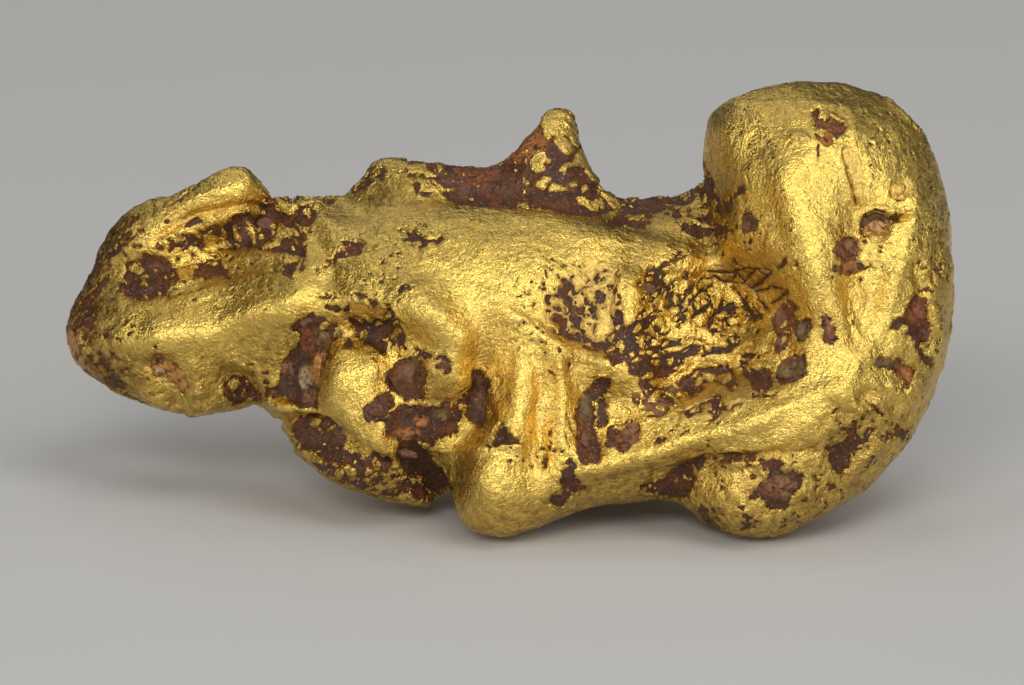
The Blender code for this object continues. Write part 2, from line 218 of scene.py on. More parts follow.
def line_distance(across, up, line):
    """Distance to a line of (right, up) points."""
    nearest = np.full(len(across), np.inf)
    for (x0, y0), (x1, y1) in zip(line[:-1], line[1:]):
        dx, dy = x1 - x0, y1 - y0
        along = np.clip(((across - x0) * dx + (up - y0) * dy) / (dx * dx + dy * dy), 0, 1)
        nearest = np.minimum(nearest, np.hypot(across - x0 - along * dx, up - y0 - along * dy))
    return nearest


def outline_distance(across, up, outline):
    """Distance to a closed outline of (right, up) points, negative inside it."""
    closed = outline + outline[:1]
    inside = np.zeros(len(across), dtype=bool)
    for (x0, y0), (x1, y1) in zip(closed[:-1], closed[1:]):
        if y0 != y1:
            crossing = (y0 > up) != (y1 > up)
            inside ^= crossing & (across < (x1 - x0) * (up - y0) / (y1 - y0) + x0)
    return np.where(inside, -1, 1) * line_distance(across, up, closed)


def draw(seats):
    """A number from 0 to 1 for each seat of a cell, the same each time."""
    value = np.sin(seats @ np.array([12.9, 78.2, 37.7])) * 437.6
    return value - np.floor(value)


def flecks(points, length, share, shift):
    """mm into angular flecks that fill a share of space, negative between them."""
    bent = points + FLECK_BEND * wander(points, FLECK_BEND)
    far, seats = find_cells(bent @ FLECK_GRAIN / length + shift, kept=4)
    gaps = (far - far[:, :1]) * length / 2
    taken = draw(seats) < share
    same = taken == taken[:, :1]
    to_edge = np.min(np.where(same, length, gaps), axis=1)
    return np.where(taken[:, 0], to_edge, -to_edge)


# Forms of the gold itself, under everything else: a line (right, up), how far to each side it
# reaches in mm, and how high it stands in mm, or how deep it is cut below zero.
STROKES = (
    # crown: knob, scar and the shallow channel beside it, edge fold, ring, orange hollow
    (((21.9, 26.6), (21.7, 25.7), (22, 24.5), (22.4, 23.2), (22.8, 22.4)), 0.20, 0.12),
    (((23.6, 26), (24, 25.2), (23.8, 24.4), (24.2, 23.8)), 0.16, 0.08),
    (((25, 29.7), (25.4, 29.5), (26.5, 28.5), (27.6, 27.3), (28.4, 26.4), (29.1, 25.2)),
     0.22, 0.2),
    (((23, 21.9), (24.4, 22.5), (25.4, 22), (26.6, 21.9)), 0.35, 0.22),
    (((25.2, 21.6), (26.4, 21.7)), 0.22, -0.20),
    (((20.6, 29.2), (22, 29.3), (22.8, 28.4), (22.7, 27.2)), 0.5, 0.18),
    # right flank: the two long ridges, the trough between them, and the knobs by the rim
    (((17.6, 25.5), (18.6, 22.6), (19.2, 20), (20.2, 17), (21.2, 14.8)), 1.6, 0.30),
    (((22.5, 15.9), (22.9, 14.5), (23.3, 13.3)), 0.28, 0.22),
    (((22.3, 17.4), (22.7, 15.2), (22.9, 13.4)), 0.9, -0.2),
    (((26.7, 22.7), (26.5, 20.6), (25.8, 18.6), (25, 16.2), (24.2, 14), (21.7, 10.2)),
     1.1, 0.35),
    (((26.9, 18.4), (27.4, 16.8), (26.6, 15.2)), 0.8, -0.35),
    (((28.4, 15.6), (28.6, 14), (28, 12.4)), 0.55, 0.25),
    (((25, 10.5), (26.2, 9.9), (26.9, 10.8)), 0.5, 0.22),
    (((23.4, 9.7), (23.5, 9.9)), 0.62, -0.24),
    (((22.9, 10.7), (23.7, 10.9), (24.4, 10.3)), 0.3, 0.12),
    (((20.6, 8), (21.4, 9.2), (22.4, 8.8)), 0.6, -0.3),
    (((23.2, 8.9), (24.3, 9.3), (25, 8.5)), 0.5, 0.2),
    (((22.7, 5), (23.6, 5.9), (24.8, 6.3)), 0.6, 0.25),
    # lip: its bright edge, the crease and the flat below it
    (((4.6, 4.9), (9, 5.9), (14, 7.6), (18, 8.9), (21, 10.4)), 1, 0.25),
    (((9.6, 4.6), (12.7, 5.5), (14.6, 5.9), (16.2, 6), (20, 6.3)), 0.55, -0.35),
    (((13.6, 4.5), (16, 4.9)), 1.2, -0.25),
    (((12, 2.3), (12.7, 1.5), (13.4, 0.9)), 0.35, -0.2),
    (((12.9, 5.9), (15.2, 6), (17, 6.3), (19.4, 6.9)), 0.30, -0.16),
    (((14.4, 3.8), (15.4, 2.9), (15.8, 1.9)), 0.45, 0.16),
    (((19.6, 5.4), (20.4, 4.4), (20.6, 3.2)), 0.50, -0.20),
    (((19.2, 2), (20.4, 2.4), (21.8, 3.2)), 0.40, 0.14),
    (((23, 4.3), (24.2, 5), (25.2, 6.2)), 0.40, -0.14),
    (((24.4, 7.2), (25.6, 7.6), (26.6, 8.6)), 0.35, -0.14),
    (((25.8, 9), (26.8, 9.8), (27.4, 10.8)), 0.45, 0.14),
    (((27.9, 17.6), (28.3, 19.4), (28.3, 21)), 0.50, -0.16),
    # post and foot: two upright folds with a groove between them, and the foot's ledge
    (((-1.5, 11.3), (-1, 9.6), (0.1, 7.5)), 0.7, 0.25),
    (((0.6, 12.5), (0.5, 9), (0.5, 5.6)), 0.8, 0.2),
    (((1.9, 11.4), (1.8, 8.4), (2, 5.2)), 0.5, -0.22),
    (((3.3, 12), (3.4, 9.4), (3.3, 6.6)), 0.7, 0.2),
    (((-0.4, 15.6), (2.6, 13.5), (6.6, 11.9)), 0.8, 0.25),
    (((-5.5, 6.6), (-2.9, 6.2), (-1.5, 6.5), (0.6, 6.6)), 0.45, 0.25),
    (((7.4, 19.2), (7, 16.5), (7, 13.6)), 0.5, 0.2),
    # lower left: lip under the ironstone band, knuckle, block, knob and the crevices
    (((-14.2, 6.4), (-12.1, 4.9), (-9.5, 3.8), (-5.9, 2.8)), 0.6, 0.35),
    (((-11.2, 12.8), (-11.7, 9.6), (-9.9, 7.4), (-8.2, 6.2)), 1.2, 0.45),
    (((-5, 11.9), (-3.5, 10.6)), 1.5, 0.45),
    (((-5.7, 9.5), (-3.5, 9.4), (-2.8, 10.2)), 0.35, -0.25),
    (((-15.9, 9.2), (-14.8, 8.9)), 0.7, 0.25),
    (((-15.6, 8.3), (-13.4, 8.5), (-12.2, 8.3), (-10.9, 7), (-9.3, 5.9), (-8, 5.6)),
     0.55, -0.8),
    (((-16.2, 9.9), (-15.2, 9.2), (-13.6, 9.1)), 0.5, 0.35),
    (((-6.7, 11.2), (-6.6, 11.1)), 1.2, 0.2),
    # left lobe and hook: finger, the hollow under it, ridge, dimple, knobs and creases
    (((-23.5, 22.2), (-20.8, 23.3), (-18, 24)), 0.9, 0.25),
    (((-24, 20.6), (-21.4, 21.9), (-18.6, 22.6), (-16.9, 22.6)), 0.5, -0.45),
    (((-23.4, 13.9), (-20.2, 14.4), (-17, 15.5), (-14.2, 16.6)), 1.9, 0.45),
    (((-25.6, 16.6), (-22.6, 17), (-19.4, 18.2), (-16, 18.6)), 0.8, -0.35),
    (((-21, 19.3), (-17.5, 19.4), (-15, 19.2)), 0.45, 0.22),
    (((-23.7, 11.9), (-22.8, 10.4)), 1.5, -0.50),
    (((-21.3, 11.8), (-21, 10.2)), 0.8, 0.35),
    (((-24.9, 10.2), (-23.6, 9.4), (-22.4, 9)), 0.5, 0.28),
    (((-20.4, 9), (-21.6, 8.6)), 0.7, 0.25),
    (((-18.6, 10.9), (-17.6, 9.9)), 1.1, -0.26),
    (((-29.3, 14.3), (-28.9, 13.2)), 0.7, 0.30),
    (((-24.6, 12.6), (-24, 13.1), (-22.8, 12.9)), 0.35, 0.10),
    (((-20.2, 16.6), (-18.2, 16.9), (-16.8, 17.6)), 0.30, -0.06),
    # shoulder and nose
    (((-6.6, 16.9), (-3.2, 13.8)), 1.7, 0.35),
    (((-13.2, 20.9), (-12.2, 19.2), (-11.9, 17.4)), 0.7, -0.2),
    (((-1.6, 20.2), (1.2, 20)), 1.2, 0.12),
)
# Crisp marks: outline (right, up), width of the wall, and depth in mm, below zero where it stands.
MARKS = (
    (((22.26, 26.59), (22.8, 26.46), (23.26, 25.77), (23.3, 24.7), (23.5, 23.6), (23.1, 22.7),
      (22.9, 22.4), (22.6, 23.6), (22.3, 24.7), (22, 25.8), (21.95, 26.2)), 0.1, 0.22),
    (((18.3, 27), (18.8, 27.5), (19.4, 27.3), (19.7, 26.8), (19, 26.7)), 0.12, -0.22),
    (((25.1, 23.4), (25.4, 24.1), (26, 24.3), (26.5, 23.9), (26.4, 23.2), (25.9, 22.9),
      (25.3, 23)), 0.16, 0.22),
    (((25.4, 23.5), (25.6, 23.9), (26, 24), (26.3, 23.7), (26.1, 23.3),
      (25.7, 23.2)), 0.25, -0.34),
    (((23.2, 21.2), (23.3, 22), (24, 22.3), (24.9, 21.9), (26.1, 22), (26.2, 21.6), (25.3, 21.5),
      (25.1, 20.7), (24.5, 20.2), (23.7, 20.5)), 0.26, 0.24),
    (((22.7, 10), (23.2, 10.5), (23.9, 10.3), (24.2, 9.6), (23.7, 9.1), (23, 9.3)), 0.22, 0.2),
)
# Where the skin swells towards the viewer, or falls back where the rise is below zero: middle
# (right, up), half width and height, rise in mm.
SWELLS = (
    ((-11.4, 15.2), (2.6, 1.5), 2.0),
    ((-8.3, 12.9), (1.6, 1.9), 1.4),
    ((-14.2, 13.2), (1.3, 2.2), 0.8),
    ((-7.2, 9.4), (2.0, 1.3), 0.5),
    ((-7.2, 14.6), (1.4, 1.4), 0.9),
    ((-10.6, 16.4), (1.6, 0.9), 0.35),
    ((-12.9, 7.0), (2.1, 0.9), -0.9),
    ((-11.0, 4.7), (2.8, 0.7), 1.0),
    ((14.0, 14.4), (4.2, 3.4), 0.8),
    ((12.8, 21.2), (3.2, 1.3), 0.9),
)
# Where the outline of the skin is lifted: middle (right, up), half width and height, lift in mm.
LIFTS = (
    ((12.9, 23.4), (1.1, 1.2), 0.9),
    ((-11.6, 24.2), (1.4, 0.8), 0.5),
)
# Each patch of bare rock: outline (right, up), how deep it lies under the gold in mm, and how
# much gold still shows in it, from 0 to 1.
PATCHES = {
    "hook_hollow": (((-16.7, 21.9), (-16.6, 23.2), (-16.2, 23.4), (-14.4, 22.9), (-13.5, 23),
        (-12.4, 22.8), (-13.2, 21.8), (-13.4, 21.3), (-13.9, 20.2), (-13.8, 19.2), (-15.1, 19.4),
        (-17.4, 19.7), (-19.7, 19.9), (-19, 20.7), (-19.5, 21.1), (-18.9, 21.4), (-18.5, 22.1),
        (-17.2, 22.1)), 0.35, 0.22),
    "hook_tail": (((-15.1, 19.1), (-14.3, 19.3), (-14.2, 18.7), (-14.8, 17.8), (-15.1, 17.8),
        (-15.4, 18.3), (-16.4, 18.5), (-16.3, 18.7), (-15.4, 18.6)), 0.18, 0.1),
    "hook_speck_a": (((-21.7, 21.7), (-21, 21.8), (-20.6, 21.5), (-21.4, 21.3), (-21.5, 20.9),
        (-21.9, 21)), 0.09, 0.2),
    "hook_speck_b": (((-20.9, 21.3), (-20.1, 21.2), (-19.4, 21), (-19.8, 20.7),
        (-20.5, 20.9)), 0.09, 0.2),
    "hook_speck_c": (((-21.9, 20.5), (-21.3, 20.5), (-21, 20.3), (-21.5, 20.1)), 0.09, 0.1),
    "hook_speck_d": (((-22.8, 19.9), (-22.3, 20.1), (-22.2, 19.8), (-22.6, 19.6)), 0.09, 0.1),
    "lobe_valley": (((-24.9, 19.1), (-24.4, 19.4), (-23.3, 18.9), (-22.6, 18.5), (-22.8, 17.8),
        (-23.8, 17.2), (-24.4, 16.8), (-25.4, 17.1), (-26.2, 16.8), (-26.5, 17.9), (-25.3, 17.8),
        (-24.8, 18.5)), 0.21, 0.12),
    "lobe_valley_end": (((-21.5, 17.9), (-21.1, 18.7), (-20.3, 19), (-19.5, 18.9), (-19.1, 18.5),
        (-19.3, 18.1), (-20.1, 18.3), (-20.3, 17.9), (-21, 18.2)), 0.16, 0.1),
    "left_edge": (((-29.9, 14.6), (-29.6, 16.4), (-28.9, 18), (-28, 19.4), (-27.2, 20.5),
        (-26.2, 21.6), (-25.4, 22), (-25.6, 20.9), (-26.4, 19.7), (-27.2, 17.9), (-27.8, 16.4),
        (-28, 14.8), (-28.3, 13.6)), 0.08, 0.75),
    "left_foot": (((-28.6, 12.4), (-27.6, 13), (-27, 11.6), (-25.6, 10), (-24.4, 9.2),
        (-24.9, 8.8), (-26.6, 9.9)), 0.08, 0.62),
    "tip_flake": (((-30.4, 14.6), (-29.5, 14.4), (-29, 13.4), (-28.9, 12.6), (-29.4, 12.3),
        (-30.4, 13)), 0.03, 0.1),
    "hook_rim": (((-16.8, 24.9), (-14.5, 24.6), (-12.2, 24.4), (-11.6, 23.2), (-12.6, 22.3),
        (-14.2, 22.6), (-16.3, 23.2)), 0.2, 0.55),
    "lobe_flakes": (((-23.4, 20.3), (-21.9, 21), (-19.9, 20.9), (-18.9, 20.3), (-19.6, 19.6),
        (-21.6, 19.4), (-23.2, 19.4), (-24, 19.9)), 0.09, 0.78),
    "lobe_low_flakes": (((-26.6, 17), (-25.4, 16.7), (-24.2, 16.5), (-23, 17), (-22.4, 17.9),
        (-22.9, 19), (-24.6, 19.3), (-25.9, 18.6)), 0.12, 0.5),
    "ridge_top": (((-6.8, 26.6), (-5.2, 26.6), (-5.3, 25.3), (-6.2, 25.3),
        (-7.2, 25.8)), 0.12, 0.1),
    "ridge_red": (((-5.3, 26.4), (-3.6, 26.4), (-3.6, 24), (-4.2, 23.5), (-5, 24.6),
        (-5.5, 25.3)), 0.14, 0.1),
    "ridge_left": (((-10.8, 23.6), (-9.6, 25), (-8.5, 25.4), (-8.5, 24.8), (-9.6, 24.2),
        (-10.4, 23.4)), 0.1, 0.3),
    "saddle": (((5.9, 24.6), (8.6, 24.2), (10, 24.2), (12, 24.8), (12.9, 25.6), (13.4, 24.2),
        (13.1, 22.6), (12, 22.7), (10, 22.2), (8.7, 21.6), (7.6, 21.9), (6.8, 23)), 0.1, 0.55),
    "hook_streak": (((-23.3, 22.7), (-22.3, 23.2), (-21.7, 23.8), (-21.3, 23.8), (-22.1, 23.2),
        (-22.8, 22.6)), 0.08, 0.35),
    "lip_left": (((3.8, 5.6), (4.2, 5.3), (4.4, 4.7), (4.3, 4.3), (5, 3.8), (4.9, 3.5), (3.8, 3.3),
        (3.7, 2.7), (3.2, 2.4), (2.6, 2.9), (2.7, 3.2), (3.4, 3.4), (3.3, 4.7)), 0.13, 0.05),
    "lip_under": (((8.3, 3.5), (9.3, 4.3), (10.2, 4.3), (11, 5), (12, 5.5), (12.7, 5.9),
        (12.6, 4.9), (12.2, 4), (11.4, 3), (10.2, 3), (9.2, 3.3)), 0.14, 0.18),
    "foot_edge": (((12.2, 2.5), (12.9, 2.4), (13.6, 1.6), (14.3, 1), (15.3, 0.6), (14.2, 0.2),
        (12.9, 1)), 0.08, 0.45),
    "lip_crease": (((12.4, 5.6), (14, 6.1), (15.6, 6.2), (16.8, 5.8), (16.8, 5.4), (15.4, 5.7),
        (14, 5.6)), 0.05, 0.62),
    "crest_layer": (((-8.4, 25), (-7.4, 25.2), (-6.6, 24.9), (-5.2, 24.8), (-4.4, 24.4),
        (-3.4, 23.2), (-4.2, 23.2), (-4.8, 23.7), (-5.7, 24.5), (-7.3, 24.8)), 0.13, 0.2),
    "crest_speck": (((-6.6, 24.4), (-6.1, 24.2), (-6.1, 23.8), (-5.3, 23.7), (-5.6, 23.4),
        (-6.2, 23.6)), 0.1, 0.2),
    "shoulder_spot": (((-7.4, 21.1), (-6.9, 21.1), (-5.7, 20.5), (-5.2, 20.2), (-4.5, 20.7),
        (-4.8, 20.1), (-5.6, 20.1), (-6, 19.7), (-6.1, 20.1), (-7.2, 20.3)), 0.13, 0.05),
    "shoulder_speck": (((-6.3, 21.5), (-5.6, 21.3), (-5.7, 21.1)), 0.08, 0),
    "crown_spot": (((20.1, 28.8), (20.4, 29), (20.6, 28.4), (21.1, 28.5), (21.9, 28.1),
        (22.3, 27.7), (22.1, 27.2), (21.4, 27), (21.1, 26.5), (20.6, 26.6),
        (20.2, 27.2)), 0.13, 0.05),
    "crown_foot": (((15.1, 21.8), (15.8, 22.1), (16.3, 21.3), (16, 20.7), (15.2, 20.7)), 0.18, 0),
    "valley_quartz": (((21.7, 20.1), (22.2, 20.4), (22.8, 20.4), (23.1, 20), (23, 19.2),
        (23.4, 18.4), (22.8, 18.1), (21.4, 17.9), (21.3, 18.2), (22, 18.8), (21.5, 19.2),
        (21.5, 19.8)), 0.18, 0),
    "green_rim": (((23.3, 20.4), (23.2, 21), (23.4, 21.7), (24.1, 22), (24.8, 21.8), (26, 22),
        (25.9, 21.6), (25.2, 21.6), (25, 21.1), (24.5, 21.5), (23.9, 21.3), (23.4, 21),
        (23.6, 20.4)), 0.18, 0),
    "rim_rock": (((26.6, 16.1), (27.1, 16.5), (27.6, 15.9), (27.9, 14.3), (27.8, 13.5),
        (27.3, 13.4), (27.6, 12.6), (28.1, 11.9), (27.9, 11.8), (27.2, 12.6), (26.8, 13.4),
        (25.9, 14.3), (25.1, 14.3), (25.2, 14.9), (26.1, 15)), 0.18, 0.05),
    "rim_low": (((24.2, 12.4), (24.5, 12.5), (25.2, 12.3), (25.7, 12.4), (26.3, 11.9),
        (26.7, 11.4), (26.6, 10.7), (26.3, 10.4), (25.9, 11.2), (25.2, 11.7),
        (24.1, 11.8)), 0.16, 0),
    "cheek_pit": (((20.4, 15.1), (21, 15.3), (21.2, 14.7), (21.7, 13.7), (21.4, 13.4), (21, 13.4),
        (20.7, 13.7), (20.7, 14.4)), 0.16, 0),
    "rim_specks": (((28.2, 18.3), (28.6, 18.8), (28.7, 17.7), (28.5, 17.2),
        (28, 17.3)), 0.09, 0.3),
    "pit_hole": (((18.8, 18.5), (19, 18.8), (19.2, 18.5), (19, 18.3)), 0.18, 0),
    "pit_notch": (((17.5, 18.4), (17.9, 18.7), (18.2, 18.9), (18.1, 18.4), (17.7, 18.3)), 0.13, 0),
    "foot_spot": (((16.4, 5.6), (17.5, 5.7), (18.6, 5.1), (19.3, 4.6), (19.2, 3.9), (18.5, 3.3),
        (18.1, 2.5), (17.3, 2.4), (16.7, 2.9), (15.6, 3.1), (16.1, 3.8), (16.9, 4.3),
        (17.1, 4.9)), 0.12, 0.1),
    "low_flank": (((20.9, 6.5), (21.5, 6.9), (22.1, 6.7), (22.3, 7.6), (22.6, 8.3), (22.9, 7.4),
        (23.3, 6.9), (22.6, 6.3), (22.4, 5.4), (21.9, 4.5), (21.4, 4.9), (21.1, 5.7)), 0.11, 0.1),
    "low_flank_arc": (((22.9, 7), (23.6, 7.7), (24.2, 8.2), (24.4, 7.7), (23.6, 7)), 0.09, 0.3),
    "low_specks": (((21, 4.1), (21.5, 4.2), (21.7, 3.6), (21.1, 3.4)), 0.08, 0.4),
    "low_edge": (((25.5, 7.7), (26.2, 7.9), (26.7, 7.3), (26, 7)), 0.1, 0.1),
    "low_dent": (((15.2, 1.5), (15.8, 1.5), (15.8, 1.1), (15.4, 1.1)), 0.1, 0),
    "neck_recess": (((-19, 10.9), (-17.9, 10.9), (-16.8, 10.1), (-17, 9.3), (-18.5, 9.3),
        (-19.2, 9.9)), 0.18, 0.2),
    "shoulder_specks": (((-12.5, 19.5), (-11.5, 20.3), (-10.1, 20.5), (-9.5, 20), (-10.1, 19.3),
        (-11.5, 19.2), (-12.3, 18.7)), 0.09, 0.55),
    "tip_dent": (((-24.3, 12), (-23.7, 12.6), (-22.9, 11.8), (-22.1, 11.6), (-21.7, 10.4),
        (-22.2, 9.8), (-22.9, 10.7), (-23.9, 11.1)), 0.05, 0.3),
    "pit": (((8.59, 17.45), (8.93, 17.85), (9.46, 18.72), (9.77, 18.36), (10.34, 18.86),
        (11.07, 19.18), (11.81, 19.33), (11.61, 19.09), (10.87, 18.89), (10.34, 18.32),
        (10.27, 17.92), (10.87, 17.99), (11.04, 17.65), (11.48, 17.79), (11.81, 17.42),
        (12.08, 17.35), (12.68, 17.72), (13.56, 17.72), (14.09, 17.45), (14.77, 16.98),
        (15.3, 16.51), (15.64, 16.78), (15.67, 16.04), (16.17, 15.37), (16.64, 15.2),
        (16.17, 14.93), (15.6, 14.93), (15.77, 14.56), (16.64, 14.5), (16.51, 14.26),
        (15.91, 13.96), (16.24, 13.69), (14.97, 13.22), (14.56, 12.82), (13.76, 12.65),
        (13.09, 12.55), (11.88, 12.52), (11.48, 12.08), (11.21, 11.54), (10.07, 11.21),
        (9.19, 10.94), (7.85, 11.48), (7.58, 12.95), (7.65, 14.16), (8.26, 14.97), (8.59, 15.37),
        (8.69, 16.04), (8.66, 16.98)), 0.11, 0.03),
    "pit_stone": (((17.45, 15.37), (17.79, 15.64), (17.92, 15.97), (18.46, 15.84), (18.72, 15.64),
        (18.72, 15.1), (18.66, 14.56), (18.46, 13.89), (18.32, 13.29), (17.92, 12.62),
        (17.65, 12.82), (17.52, 13.89), (17.32, 14.83)), 0.1, 0),
    "pit_stone_right": (((18.86, 15.03), (19.53, 14.97), (19.87, 14.7), (19.8, 14.03),
        (19.26, 13.62), (18.86, 13.62), (18.66, 13.89), (18.72, 14.56)), 0.08, 0),
    "pit_stone_low": (((17.45, 11.34), (17.79, 12.15), (18.59, 12.55), (19.26, 12.68),
        (19.56, 12.28), (19.4, 11.48), (18.79, 11.01), (18.19, 10.74), (17.52, 10.81)), 0.08, 0),
    "arch": (((10.92, 10.86), (11.43, 10.98), (12.18, 11.69), (13.1, 11.86), (13.52, 11.86),
        (13.61, 11.53), (13.86, 11.86), (14.36, 12.03), (14.95, 11.69), (14.95, 11.02),
        (15.12, 10.77), (14.61, 10.27), (14.19, 10.69), (13.52, 10.86), (12.85, 10.77),
        (12.68, 10.27), (11.93, 9.85), (11.76, 10.27), (11.26, 10.52)), 0.2, 0.06),
    "ring": (((15.2, 12.28), (15.62, 12.7), (16.38, 12.79), (17.13, 12.7), (16.38, 12.52),
        (15.66, 12.37), (15.79, 11.95), (16.38, 11.69), (17.38, 11.53), (17.38, 10.94),
        (16.88, 10.44), (16.21, 10.25), (15.96, 10.6), (15.29, 11.61)), 0.2, 0.04),
    "under_ring": (((15.96, 10.18), (16.38, 10.1), (17.21, 10.23), (17.21, 10.06), (16.38, 9.97),
        (15.96, 10.02)), 0.08, 0),
    "low_left": (((8.66, 10.94), (9.33, 10.86), (9.66, 10.6), (10.17, 10.52), (10.84, 10.6),
        (11.26, 10.18), (11.26, 9.77), (11.01, 9.35), (10.67, 9.43), (10.5, 9.09), (10.08, 8.76),
        (9.66, 8.51), (8.99, 8.59), (8.66, 9.26), (8.83, 9.93), (8.57, 10.6)), 0.1, 0.05),
    "low_scratches": (((12.18, 9.18), (12.68, 9.56), (13.36, 9.77), (13.19, 10.14), (13.61, 10.18),
        (13.86, 10.02), (13.61, 9.77), (14.28, 9.5), (15.29, 9.61), (14.36, 9.01), (13.94, 9.09),
        (13.78, 8.51), (13.19, 8.36), (12.94, 8.42), (13.44, 8.76), (13.19, 9.01), (12.52, 9.05),
        (11.85, 8.57), (11.17, 8.76), (11.85, 9.08)), 0.1, 0.04),
    "post_top": (((4.76, 10.14), (5.39, 10.52), (5.72, 10.94), (6.56, 11.02), (6.64, 10.6),
        (6.48, 10.18), (6.22, 9.93), (5.89, 9.6), (5.55, 9.6), (5.22, 9.85), (4.8, 10)), 0.15, 0),
    "post_left": (((4.51, 9.72), (5.22, 9.83), (5.55, 9.51), (5.72, 8.84), (5.55, 8.26),
        (5.64, 7.58), (5.72, 6.83), (6.02, 6.58), (5.97, 5.91), (5.72, 5.53), (5.22, 5.46),
        (4.46, 5.65), (4.36, 7.08), (4.42, 8.76)), 0.1, 0),
    "post_middle": (((5.93, 9.6), (6.31, 9.78), (6.35, 8.93), (6.49, 8.26), (6.27, 7.92),
        (5.64, 7.92), (5.72, 8.26), (5.89, 8.93)), 0.22, 0),
    "post_right": (((6.39, 7.92), (7.06, 7.84), (7.48, 7.92), (7.57, 8.26), (7.99, 8.51),
        (8.32, 8.26), (8.45, 7.58), (8.24, 6.91), (7.9, 6.33), (7.32, 6.24), (7.15, 6.33),
        (6.64, 6.49), (6.27, 6.83)), 0.1, 0),
    "post_mesh": (((7.99, 9.85), (8.24, 10.02), (8.49, 9.85), (8.41, 9.6), (8.53, 9.35),
        (8.24, 9.26), (8.03, 9.51)), 0.08, 0.3),
    "post_specks": (((6.56, 9.01), (7.06, 8.93), (7.15, 8.42), (6.9, 8.51),
        (6.64, 8.76)), 0.08, 0.45),
    "lip_specks": (((9.41, 6.91), (10, 7.29), (10.42, 7), (10.08, 6.73),
        (9.54, 6.66)), 0.08, 0.25),
    "lip_specks_up": (((8.91, 7.58), (9.33, 7.5), (9.66, 7.58), (9.33, 7.33),
        (8.99, 7.42)), 0.06, 0.5),
    "neck_rock": (((-13.87, 15.11), (-13.14, 15.4), (-12.56, 14.89), (-11.68, 14.5),
        (-11.71, 13.8), (-12.12, 12.92), (-11.75, 12.12), (-11.9, 11.68), (-12.41, 12.12),
        (-12.7, 12.41), (-13.14, 12.19), (-13.43, 11.76), (-13.29, 11.03), (-12.99, 10.44),
        (-12.82, 9.57), (-13.14, 9.13), (-14.16, 9.28), (-15.04, 9.68), (-16.06, 9.9),
        (-16.64, 10.15), (-16.35, 10.44), (-15.36, 10.44), (-15.33, 11.76), (-15.04, 12.34),
        (-14.31, 13.07), (-14.02, 13.95), (-14.6, 14.46)), 0.12, 0),
    "cavity": (((-11.24, 15.55), (-10.66, 16.13), (-11.1, 15.19), (-10.59, 15.08), (-10.08, 15.11),
        (-9.49, 14.89), (-8.91, 15.08), (-8.33, 15.55), (-8.47, 15.99), (-8.11, 16.13),
        (-8, 14.38), (-8.18, 13.51), (-8.4, 12.49), (-8.76, 13.11), (-9.35, 13.33), (-9.93, 13.62),
        (-10.66, 14.38)), 0.45, 0.05),
    "cavity_left": (((-11.68, 14.16), (-10.95, 13.95), (-10.37, 13.51), (-10.51, 12.92),
        (-11.1, 12.92), (-11.24, 13.51)), 0.15, 0.3),
    "cavity_top": (((-10.51, 16.72), (-9.64, 16.64), (-8.76, 16.43), (-8.4, 15.99), (-9.35, 15.84),
        (-9.64, 16.28), (-10.22, 16.43)), 0.08, 0.4),
    "cavity_line": (((-12.92, 16.57), (-12.26, 16.64), (-11.61, 16.5),
        (-12.26, 16.38)), 0.08, 0.1),
    "cavity_specks": (((-12.41, 15.91), (-11.68, 15.84), (-11.24, 15.48),
        (-11.83, 15.55)), 0.08, 0.2),
    "nose_specks": (((-8.03, 13.51), (-7.45, 13.07), (-7.01, 13.36), (-5.84, 12.92),
        (-5.12, 12.56), (-4.39, 12.49), (-3.88, 12.19), (-4.09, 11.61), (-4.68, 11.9),
        (-5.41, 12.34), (-5.99, 12.49), (-6.72, 12.49), (-7.45, 12.49),
        (-7.89, 12.78)), 0.15, 0.35),
    "nose_notch": (((-7.45, 16.94), (-6.87, 17.01), (-6.72, 16.72), (-7.3, 16.75)), 0.08, 0.1),
    "quartz_seat": (((-7.3, 12.19), (-6.72, 12.49), (-5.99, 12.34), (-5.52, 11.61), (-5.48, 11.03),
        (-5.84, 10.44), (-5.84, 9.71), (-6.72, 9.54), (-7.3, 9.86), (-7.89, 10.3), (-8.35, 11.03),
        (-8.18, 11.46)), 0.12, 0),
    "seat_left": (((-9.81, 8.98), (-9.35, 9.28), (-8.76, 9.86), (-8.03, 10.01), (-7.74, 9.57),
        (-7.89, 8.98), (-8.47, 8.26), (-9.05, 8.08), (-9.78, 8.4)), 0.12, 0),
    "mass": (((-7.74, 8.98), (-7.3, 9.28), (-6.43, 9.28), (-5.41, 9.13), (-4.39, 9.28),
        (-3.51, 9.13), (-3.07, 9.57), (-2.85, 10.15), (-2.63, 11.03), (-2.49, 11.61),
        (-2.05, 11.76), (-1.47, 11.17), (-1.29, 10.74), (-1.61, 9.57), (-1.76, 8.4), (-2.05, 7.79),
        (-2.63, 8.11), (-3.22, 8.69), (-3.66, 8.11), (-3.51, 7.53), (-3.95, 7.09), (-4.68, 7.23),
        (-5.26, 6.65), (-5.99, 6.94), (-6.72, 6.8), (-7.6, 7), (-8.4, 7.4),
        (-8.2, 8.2)), 0.12, 0.03),
    "foot_top": (((-1.64, 6.62), (-1.32, 7.23), (-0.59, 8.11), (-0.15, 7.67), (0.43, 7.09),
        (0.72, 6.77), (-0.59, 6.62)), 0.25, 0.05),
    "bulge_band": (((-14.74, 8.26), (-13.72, 8.4), (-12.99, 8.58), (-12.41, 8.11), (-11.68, 7.38),
        (-11.24, 6.65), (-10.66, 6.07), (-9.64, 5.77), (-8.47, 5.63), (-7.89, 5.19), (-8.03, 4.46),
        (-8.47, 4.75), (-8.76, 5.48), (-9.35, 5.48), (-9.64, 5.19), (-9.64, 4.29), (-10.22, 4.46),
